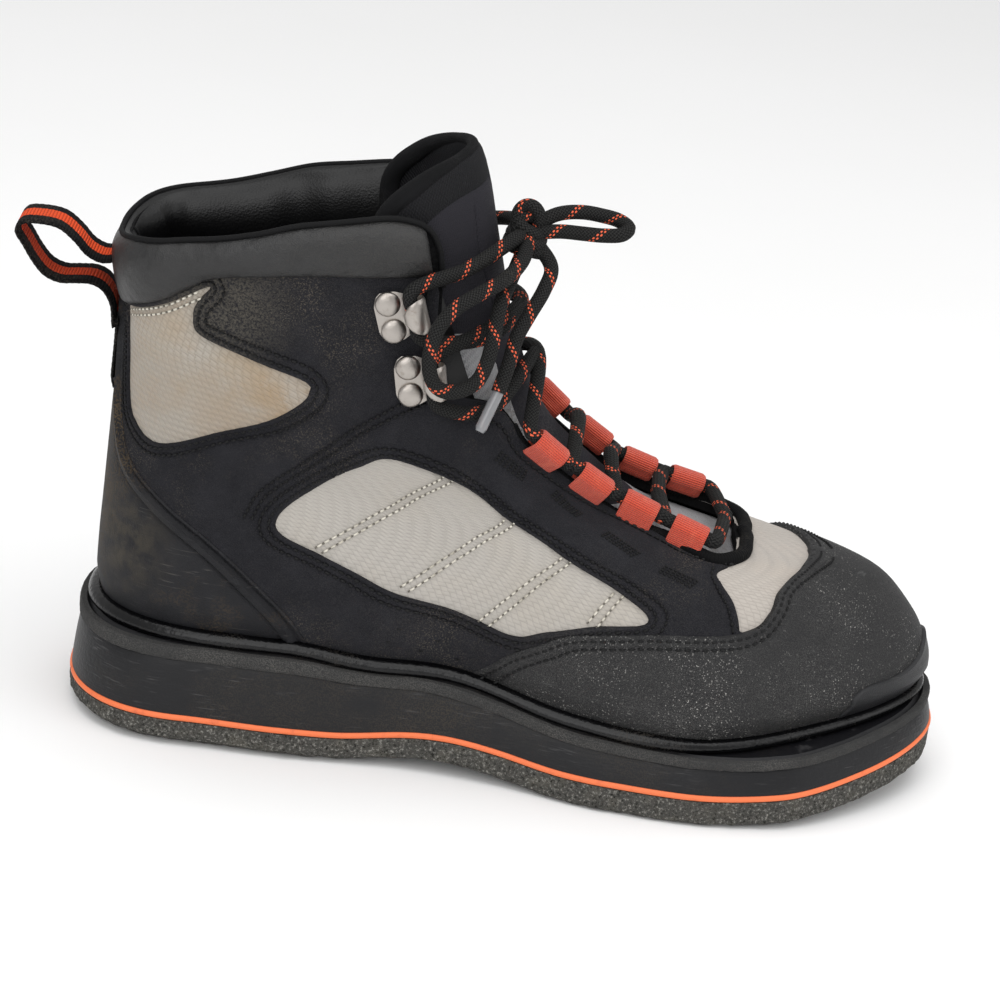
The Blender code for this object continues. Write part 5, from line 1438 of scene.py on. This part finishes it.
tongue_half = flowing(TONGUE_EDGE_LINE, 8)
tongue_edge = np.vstack([opposite(tongue_half), tongue_half[1:]])
trim_seam = beside(flowing(TONGUE_EDGE_LINE[:7], 8), -TRIM)
trim_seam = trim_seam[trim_seam[:, 0] > 0]
face_seam = np.array([(0.135, 11.6), (0.14, 11.0), (0.12, 10.2)])
tongue_ring = ring_of(tongue_half[:-1], opposite(tongue_half[:-1]))
made = panel("tongue_pad", [tongue_ring], from_ridge, tongue_face, tongue_back,
             [face_cloth, rib_cloth, gusset_cloth], ["tongue"],
             [row * (side, 1) for row in (trim_seam, face_seam) for side in (1, -1)],
             spacing=0.0030, dip=0.0007, which=tongue_kind, under=1)
roll = flowing(TONGUE_EDGE_LINE[:8], 10)
roll = np.vstack([opposite(roll), roll[1:]])
roll = evenly(spread(roll), 0.0018)
across, level = gathered(roll).T
line = from_ridge(across, level, tongue_top(across, level) - 0.0026)
fat = 0.0020 + 0.0014 * np.clip((np.abs(across) - 0.15) / 0.15, 0, 1)
made = tube("tongue_roll", line, fat, rib_cloth, "lining")

# ---------------------------------------------------------------------------------------------
# The throat's binding: thick woven tape folded over the eyestay's edge, fattest round the lower
# end of the throat.
# ---------------------------------------------------------------------------------------------
binding_cloth, tree, shader = new_finish("binding tape", screen(20, 20, 21), 0.92,
                                         Specular_IOR_Level=0.15)
made = wire(tree, "Group", {"Ribs": 900.0, "Cross": 6.0, "Turn": 0.0}, node_tree=ribs)
relief(tree, shader, made.outputs["Height"], 0.0003)
dusted(tree, shader, screen(80, 76, 70), Low=0.52, High=0.85)

BINDING_LINE = (
    (0.781, 8.85), (0.777, 8.54), (0.795, 7.97), (0.808, 7.29), (0.794, 6.46), (0.772, 5.85),
    (0.775, 5.55), (0.815, 5.66), (0.870, 5.88), (0.930, 6.08), (1.000, 6.19),
)
edge = flowing(BINDING_LINE, 10)
edge = np.vstack([edge, (edge[::-1] * (-1, 1) + (2, 0))[1:]])
way, level = gathered(evenly(spread(edge), 0.0012)).T
toe_end = eased((6.9 - level) / 0.8)
line = raised(np.where(way > 1, 2 - way, -way), level, 0.0011 + 0.0004 * toe_end)
tube("throat_binding", line, 0.0012 + 0.0014 * toe_end, binding_cloth, "synthetic_leather")

# ---------------------------------------------------------------------------------------------
# The lace loops: bright orange ribbed webbing 13 mm wide, folded round the lace and sewn under
# the eyestay's edge, four a side.
# ---------------------------------------------------------------------------------------------
OVERLAY = 0.0013
FACET_GAP = 0.00085
LACE = 0.0052
WEBBING = 0.0011
LOOP_WIDTH = 0.0130
LOOP_EYE = LACE / 2 + 0.0003
LOOP_IN = 0.0015
SEWN = OVERLAY + FACET_GAP + 4.7 * GAP
EYE_LIFT = 0.0030
LOOP_LEVELS = (8.30, 7.62, 6.92, 6.16)
SIDES = ((-1, "lateral"), (1, "medial"))

webbing, tree, shader = new_finish("orange webbing", screen(216, 78, 52), 0.78, Sheen_Weight=0.2)
made = wire(tree, "Group", {"Ribs": 1400.0, "Cross": 1000.0}, node_tree=ribs)
# Painted shade: the hollows between the ribs are coloured a deeper red.
tint(tree, shader, between(tree, made.outputs["Height"], 0.75, 0.1), screen(158, 44, 28))
patched(tree, shader, 0.004, 0.5, 0.8, screen(226, 98, 70))
relief(tree, shader, made.outputs["Height"], 0.00045)


def seated(origin, toward, out):
    """A frame whose x points along `toward` in the surface, z outward, y across both."""
    out = out.normalized()
    toward = (toward - out * toward.dot(out)).normalized()
    turned = Matrix((toward, out.cross(toward), out)).transposed()
    return Matrix.Translation(origin) @ turned.to_4x4()


def spot(way, level, height):
    return Vector(raised(np.array([way]), np.array([level]), np.array([height]))[0])


def facing(way, level):
    return Vector(outward(np.array([way]), np.array([level]))[0])


def throat_point(level):
    rows = sorted((row[1], row[0]) for row in THROAT_LINE if row[0] < 0.82 and 5.7 < row[1] < 8.6)
    return float(table_curve(rows, level))


def loop_frame(side, level):
    """A loop's frame at the throat's edge, its x pointing in over the throat."""
    way = throat_point(level) * side
    above, below = (spot(throat_point(at) * side, at, 0.0) for at in (level + 0.2, level - 0.2))
    out = facing(way, level)
    toward = (above - below).cross(out) * -side
    if toward.y * side > 0:
        toward = -toward
    return seated(spot(way, level, SEWN), toward, out)


def swept(name, line, across, widths, thickness, finish, slot, nodes, columns, wave=0.0):
    """A flat band along a line: `across` is its width's direction and the edges are rounded."""
    line = np.asarray(line, float)
    across = np.broadcast_to(np.asarray(across, float), line.shape)
    out = np.cross(np.gradient(line, axis=0), across)
    out /= np.linalg.norm(out, axis=1)[:, None]
    section = []
    for share in np.linspace(-1, 1, columns):
        inset = max(abs(share) * columns - (columns - 1.6), 0) / 1.6
        section.append((share, math.sqrt(1 - min(inset, 1) ** 2) * 0.82 + 0.18))
    section += [(share, -lift) for share, lift in section[::-1]]
    ripple = 1 + wave * np.cos(np.arange(len(line)) * math.pi)
    points = np.array([[place + side * (width / 2) * s + face * (thickness / 2) * n * r
                        for s, n in section]
                       for place, side, face, width, r in zip(line, across, out, widths, ripple)])
    run = run_of(line)
    shares = np.array([s for s, _ in section] + [section[0][0]])
    return banded(name, points, end_faces(*points.shape[:2]), lambda row, column: run[row],
                  lambda row, column: shares[column] * np.asarray(widths)[row] / 2,
                  finish, slot, nodes, columns_closed=True)


def arc(cx, cz, radius, start, end, count):
    angles = np.radians(np.linspace(start, end, count))
    return [(cx + radius * math.cos(a), cz + radius * math.sin(a)) for a in angles]


radius = LOOP_EYE + WEBBING / 2
loop_section = [(-0.0006, 0.0012 - SEWN), (0.0022, 0.0018 - SEWN),
                *arc(LOOP_IN, EYE_LIFT, radius, -50, 105, 8),
                *[(LOOP_IN - radius * back, EYE_LIFT + radius * rise)
                  for back, rise in ((0.90, 0.50), (1.16, -0.30), (1.34, -1.1))],
                (LOOP_IN - radius * 1.50, 0.0004 - SEWN)]
loop_line = evenly(flowing(loop_section, 8), 0.00036)
for side, word in SIDES:
    for number, level in enumerate(LOOP_LEVELS, 1):
        fold = loop_frame(side, level)
        line = [fold @ Vector((x, 0, z)) for x, z in loop_line]
        swept(f"webbing_{word}_{number}", line, fold.to_3x3() @ Vector((0, 1, 0)),
              [LOOP_WIDTH] * len(line), WEBBING, webbing, "orange_webbing",
              [f"lace_loop_{word}_{number}"], 14)

# ---------------------------------------------------------------------------------------------
# The speed hooks: satin nickel plates stamped from 1 mm sheet and bent to an open curl, each
# held on the eyestay by two domed rivets.
# ---------------------------------------------------------------------------------------------
LACE_CLEARANCE = 0.0009
EYE = LACE / 2 + LACE_CLEARANCE
HOOK_GAUGE = 0.0010
HOOK_REACH = 0.0085
RIVET_DIAMETER = 0.0088
RIVET_HEIGHT = 0.0022
RIVET_SPACING = 0.0100
RIVET_RIM = 0.0006
HOOK_TURN = -16
HOOKS = ((0.622, 10.36), (0.622, 9.42))
# The hook's width along its strip, in shares of its plate's width.
HOOK_WIDTHS = ((0.0, 0.55), (0.0012, 0.84), (0.0030, 0.98), (0.0080, 0.94), (0.0115, 0.76),
               (0.0150, 0.66), (0.0200, 0.68), (0.0245, 0.66), (0.0278, 0.50), (0.0300, 0.22))

nickel, tree, shader = new_finish("satin nickel", screen(172, 166, 160), 0.34, Metallic=1.0)
roughen(tree, shader, between(tree, mottle(tree, 0.0015), 0.45, 0.75), 0.48)
patched(tree, shader, 0.004, 0.5, 0.8, screen(140, 132, 124))
pitted(tree, shader, 0.00006, 0.0007)


def hook_frame(side, place):
    """A hook's frame on the eyestay, its x pointing toward the throat."""
    way, level = place[0] * side, place[1]
    ahead, behind = (spot(way + step * side, level, 0.0) for step in (0.01, -0.01))
    fold = seated(spot(way, level, SEWN + 0.0003), ahead - behind, facing(way, level))
    return fold @ Matrix.Rotation(math.radians(HOOK_TURN * side), 4, "Z")


def turned_part(name, fold, profile, sides, finish, nodes):
    """A round part from a profile of (radius, height), closed at its middle."""
    angles = np.arange(sides) / sides * 2 * math.pi
    points = [fold @ Vector((r * math.cos(a), r * math.sin(a), h))
              for r, h in profile for a in angles]
    faces = lattice(len(profile), sides, columns_closed=True)[0].tolist()
    return piece(name, points, faces + end_faces(len(profile), sides), [finish], nodes,
                 sharp=50.0)


plate = RIVET_SPACING + RIVET_DIAMETER
bend = EYE + HOOK_GAUGE / 2
hook_section = [(-RIVET_DIAMETER * 0.56, HOOK_GAUGE / 2), (-0.001, HOOK_GAUGE / 2),
                (HOOK_REACH * 0.55, HOOK_GAUGE / 2),
                *arc(HOOK_REACH, HOOK_GAUGE / 2 + bend, bend, -90, 152, 13)]
hook_line = evenly(flowing(hook_section, 8), 0.0006)
hook_widths = plate * np.interp(run_of(hook_line), *zip(*HOOK_WIDTHS))
dome = [(RIVET_DIAMETER / 2, 0.0)]
dome += [(RIVET_DIAMETER / 2 * math.cos(a), RIVET_RIM + (RIVET_HEIGHT - RIVET_RIM) * math.sin(a))
         for a in np.radians((0, 18, 36, 52, 66, 78, 87))]
for side, word in SIDES:
    for number, place in enumerate(HOOKS, 1):
        fold = hook_frame(side, place)
        line = [fold @ Vector((x, 0, z)) for x, z in hook_line]
        swept(f"hook_{word}_{number}", line, fold.to_3x3() @ Vector((0, 1, 0)), hook_widths,
              HOOK_GAUGE, nickel, "nickel", [f"speed_hook_{word}_{number}"], 14)
        for half, letter in ((-1, "a"), (1, "b")):
            under = fold @ Matrix.Translation((0, half * RIVET_SPACING / 2, HOOK_GAUGE * 0.9))
            turned_part(f"rivet_head_{word}_{number}{letter}", under, dome, 32, nickel,
                        [f"rivet_{word}_{number}{letter}"])

# ---------------------------------------------------------------------------------------------
# The lace: one round braided cord 5 mm thick, black with two orange tracer yarns side by side.
# It crosses from a bar at the throat's end up to the hooks and is tied in a bow.
# ---------------------------------------------------------------------------------------------
HOOK_WIDTH = 0.0125
RIDGE_LEAD = 0.70
KNOT_CENTRE = (0.1505, -0.0020, 0.1935)
KNOT_SIZE = (0.0115, 0.0130, 0.0150)
LACE_STEP = 0.0012
# The knot's wraps: tilt and spin in radians, half width, half height and rise in metres.
KNOT_WRAPS = ((0.25, 0.3, 0.0050, 0.0062, -0.0010), (1.45, 0.9, 0.0046, 0.0058, 0.0),
              (0.75, 2.0, 0.0040, 0.0048, 0.0010), (1.50, 0.15, 0.0040, 0.0056, 0.0042),
              (0.30, 1.2, 0.0056, 0.0060, -0.0046))
TO_BOW_LEFT = (0.25, -0.93, -0.25)
FROM_BOW_LEFT = (0.00, -0.50, -0.87)
TO_FREE_END = (0.75, -0.25, -0.61)
TO_BOW_RIGHT = (0.66, 0.25, 0.71)
FROM_BOW_RIGHT = (0.95, -0.05, 0.10)
BOW_LEFT = (
    (0.1496, -0.0180, 0.1877), (0.1440, -0.0282, 0.1838),
    (0.1352, -0.0375, 0.1805), (0.1280, -0.0435, 0.1765), (0.1232, -0.0475, 0.1700),
    (0.1215, -0.0496, 0.1615), (0.1220, -0.0502, 0.1558), (0.1245, -0.0500, 0.1508),
    (0.1285, -0.0488, 0.1486), (0.1335, -0.0470, 0.1490), (0.1384, -0.0442, 0.1518),
    (0.1412, -0.0404, 0.1575), (0.1426, -0.0357, 0.1656), (0.1438, -0.0285, 0.1748),
    (0.1465, -0.0175, 0.1805),
)
FREE_END = (
    (0.1603, -0.0075, 0.1833), (0.1585, -0.0138, 0.1768), (0.1542, -0.0203, 0.1693),
    (0.1507, -0.0260, 0.1627), (0.1490, -0.0312, 0.1553), (0.1475, -0.0344, 0.1499),
    (0.1462, -0.0366, 0.1457),
)
AGLET_END = (0.1412, -0.0432, 0.1330)
BOW_RIGHT = (
    (0.1612, 0.0020, 0.2002), (0.1690, 0.0040, 0.2010),
    (0.1760, 0.0052, 0.2002), (0.1826, 0.0050, 0.1990), (0.1860, 0.0022, 0.1975),
    (0.1838, -0.0012, 0.1960), (0.1775, -0.0022, 0.1953), (0.1700, -0.0022, 0.1952),
    (0.1625, -0.0018, 0.1950),
)

# Braid from the cord's own coordinates (metres along, 0 to 1 round): a strand's height where it
# passes over, and the two neighbouring strands that are tracers.
braid, takes, gives = effect("braid", {"Strands": 12.0, "Pitch": 780.0}, ["Height", "Tracer"])
part = wire(braid, "SeparateXYZ", {0: wire(braid, "TexCoord").outputs["UV"]}).outputs
round_it = reckon(braid, "MULTIPLY", part[1], takes["Strands"])
along_it = reckon(braid, "MULTIPLY", part[0], takes["Pitch"])
one_way = reckon(braid, "ADD", round_it, along_it)
other_way = reckon(braid, "SUBTRACT", round_it, along_it)
both = wire(braid, "CombineXYZ", {0: one_way, 1: other_way, 2: 0.5}).outputs[0]
over = over_under(braid, both)
first = humps(braid, one_way)
height = wire(braid, "Mix", {0: over, 2: humps(braid, other_way), 3: first})
braid.links.new(height.outputs[0], gives["Height"])
strand = reckon(braid, "FLOORED_MODULO", one_way, takes["Strands"])
tracer = reckon(braid, "MULTIPLY", reckon(braid, "LESS_THAN", strand, 2.0), over)
tracer = reckon(braid, "MULTIPLY", tracer, between(braid, first, 0.40, 0.65))
braid.links.new(tracer, gives["Tracer"])

cord, tree, shader = new_finish("lace braid", screen(20, 20, 21), 0.8, Specular_IOR_Level=0.2)
made = wire(tree, "Group", {}, node_tree=braid)
# Painted highlight: the crowns of the strands are coloured a lighter grey.
tint(tree, shader, between(tree, made.outputs["Height"], 0.50, 0.95), screen(46, 46, 45))
tint(tree, shader, made.outputs["Tracer"], screen(228, 104, 74))
relief(tree, shader, made.outputs["Height"], 0.00035)
dusted(tree, shader, screen(78, 76, 70), Low=0.56, High=0.95)
clear, _, _ = new_finish("clear tip", screen(172, 173, 176), 0.14, Transmission_Weight=0.5,
                         IOR=1.46, Coat_Weight=0.5)


def through_loop(side, number):
    """Points through a lace loop, along the throat and upward."""
    fold = loop_frame(side, LOOP_LEVELS[number])
    ends = [fold @ Vector((LOOP_IN, y * LOOP_WIDTH / 2, EYE_LIFT))
            for y in (-1.45, -1.15, 1.15, 1.45)]
    return sorted(ends, key=lambda point: point.z)


def round_hook(side, number):
    """Points behind a hook's curl, going up."""
    fold = hook_frame(side, HOOKS[number])
    ends = [fold @ Vector((HOOK_REACH, y * HOOK_WIDTH / 2, EYE + HOOK_GAUGE))
            for y in (-1.3, 0, 1.3)]
    return sorted(ends, key=lambda point: point.z)


def from_knot(away):
    """Where a cord starts that leaves the knot in the given direction."""
    away = Vector(away).normalized()
    reach = 1 / math.sqrt(sum((2 * part / size) ** 2 for part, size in zip(away, KNOT_SIZE)))
    return Vector(KNOT_CENTRE) + away * (reach - LACE * 0.45)


def lace_route(side):
    """One half of the lace, from the bar at the throat's end up to the knot."""
    route = [spot(1.0, 6.42, 0.0046) + Vector((0, -side * LACE * 0.2, 0))]
    bias = side * GAP
    for number in (3, 2, 1, 0):
        route += through_loop(side, number)
        if number:
            middle = (LOOP_LEVELS[number] + LOOP_LEVELS[number - 1]) / 2
            route.append(spot(1.0, middle + RIDGE_LEAD, 0.0036 + bias))
        else:
            route.append(spot(1.0, 9.62, 0.0011 + bias))
        side = -side
    route += [spot(0.722 * side, 9.08, 0.0074), *round_hook(side, 1),
              spot(0.78 * side, 10.10, 0.0048), spot(1.0, 10.25, 0.0010 + bias)]
    side = -side
    last = spot(0.93 * side, 11.20, 0.0062)
    return [*route, spot(0.78 * side, 10.02, 0.0048), *round_hook(side, 0),
            spot(0.78 * side, 11.02, 0.0050), last, from_knot(last - Vector(KNOT_CENTRE))]


for name, side, nodes in (("laces_left", -1, ["lace_crossings"]), ("laces_right", 1, ())):
    tube(name, evenly(flowing(lace_route(side), 10), LACE_STEP), LACE / 2, cord, "cord", nodes)

# The knot: the cord wrapped over and round itself, pulled into a tight ball.
turn = np.linspace(0, 2 * math.pi, 41)
for number, (tilt, spin, wide, high, rise) in enumerate(KNOT_WRAPS, 1):
    flat = np.stack([np.cos(turn) * wide, np.sin(turn) * high, 0.0008 * np.sin(2 * turn)], -1)
    twist = Matrix.Rotation(spin, 3, "Z") @ Matrix.Rotation(tilt, 3, "X")
    wrap = np.array([twist @ Vector(point) for point in flat]) + KNOT_CENTRE + (0, 0, rise)
    tube(f"knot_wrap_{number}", wrap, LACE / 2 * 0.94, cord, "cord",
         ["lace_knot"] if number == 1 else (), closed=True)


def free_cord(name, node, route):
    """A free stretch of the lace, made along the line that it follows."""
    line = evenly(flowing(route, 10), LACE_STEP)
    made = tube(name, line, LACE / 2, cord, "cord", [node])


start, end = Vector(FREE_END[-1]), Vector(AGLET_END)
step = (end - start).normalized()
tip_line = evenly(np.array([start - step * 0.0008, start.lerp(end, 0.5), end]), 0.0008)
tip_radii = np.full(len(tip_line), LACE * 0.40)
tip_radii[-2:] = LACE * 0.36, LACE * 0.28
tip = tube("clear_aglet", tip_line, tip_radii, clear, "clear_tip", ["aglet"], sides=20)
core_line = evenly(np.array([start, end - step * 0.001]), 0.001)
core = tube("aglet_core", core_line, LACE * 0.25, cord, "cord", sides=12)
free_cord("bow_left", "lace_bow_left",
          [from_knot(TO_BOW_LEFT), *BOW_LEFT, from_knot(FROM_BOW_LEFT)])
free_cord("bow_right", "lace_bow_right",
          [from_knot(TO_BOW_RIGHT), *BOW_RIGHT, from_knot(FROM_BOW_RIGHT)])
free_cord("free_end", "lace_end", [from_knot(TO_FREE_END), *FREE_END])

# ---------------------------------------------------------------------------------------------
# The pull loop: black webbing 20 mm wide with an orange stripe down its middle, folded into a
# finger loop behind the heel and sewn down the back seam.
# ---------------------------------------------------------------------------------------------
PULL_WIDTH = 0.020
PULL_THICKNESS = 0.0016
PULL_STRIPE = 0.0078
PULL_ROUTE = (
    (0.0030, 0.0, 0.1683), (-0.0020, 0.0, 0.1704), (-0.0066, 0.0, 0.1751),
    (-0.0124, 0.0, 0.1793), (-0.0199, 0.0, 0.1803), (-0.0257, 0.0, 0.1794),
    (-0.0272, 0.0, 0.1762), (-0.0244, 0.0, 0.1716), (-0.0206, 0.0, 0.1657),
    (-0.0165, 0.0, 0.1613), (-0.0114, 0.0, 0.1594), (-0.0058, 0.0, 0.1598),
    (-0.0002, 0.0, 0.1600), (0.0042, 0.0, 0.1580), (0.0076, 0.0, 0.1525), (0.0088, 0.0, 0.1440),
)
# The sewn end down the back seam, as (level, height over the upper).
DOWN_BACK = ((8.6, 0.0037), (7.8, 0.0036), (7.0, 0.0034), (6.5, 0.0030), (6.2, 0.0018))

strap, tree, shader = new_finish("striped webbing", screen(20, 20, 21), 0.88,
                                 Specular_IOR_Level=0.15)
made = wire(tree, "Group", {"Ribs": 900.0, "Cross": 1200.0}, node_tree=ribs)
part = wire(tree, "SeparateXYZ", {0: wire(tree, "TexCoord").outputs["UV"]}).outputs
stripe = reckon(tree, "LESS_THAN", reckon(tree, "ABSOLUTE", part[1]), PULL_STRIPE / 2)
tint(tree, shader, stripe, screen(228, 84, 46))
# Painted shade: the orange stripe is coloured deeper in the hollows between the ribs.
hollow_shade = between(tree, made.outputs["Height"], 0.6, 0.2)
tint(tree, shader, reckon(tree, "MULTIPLY", stripe, hollow_shade), screen(176, 52, 30))
relief(tree, shader, made.outputs["Height"], 0.0004)
dusted(tree, shader, screen(88, 82, 74), Low=0.52, High=0.9)

down_back = [spot(0.0, level, height) for level, height in DOWN_BACK]
start = spot(0.0, 10.6, FACET_GAP + 0.0022 + 2 * GAP)
line = evenly(flowing([start, *PULL_ROUTE, *down_back], 8), 0.0011)
swept("pull_strap", line, (0.0, 1.0, 0.0), [PULL_WIDTH] * len(line), PULL_THICKNESS, strap,
      "strap_webbing", ["pull_loop"], 18, 0.06)
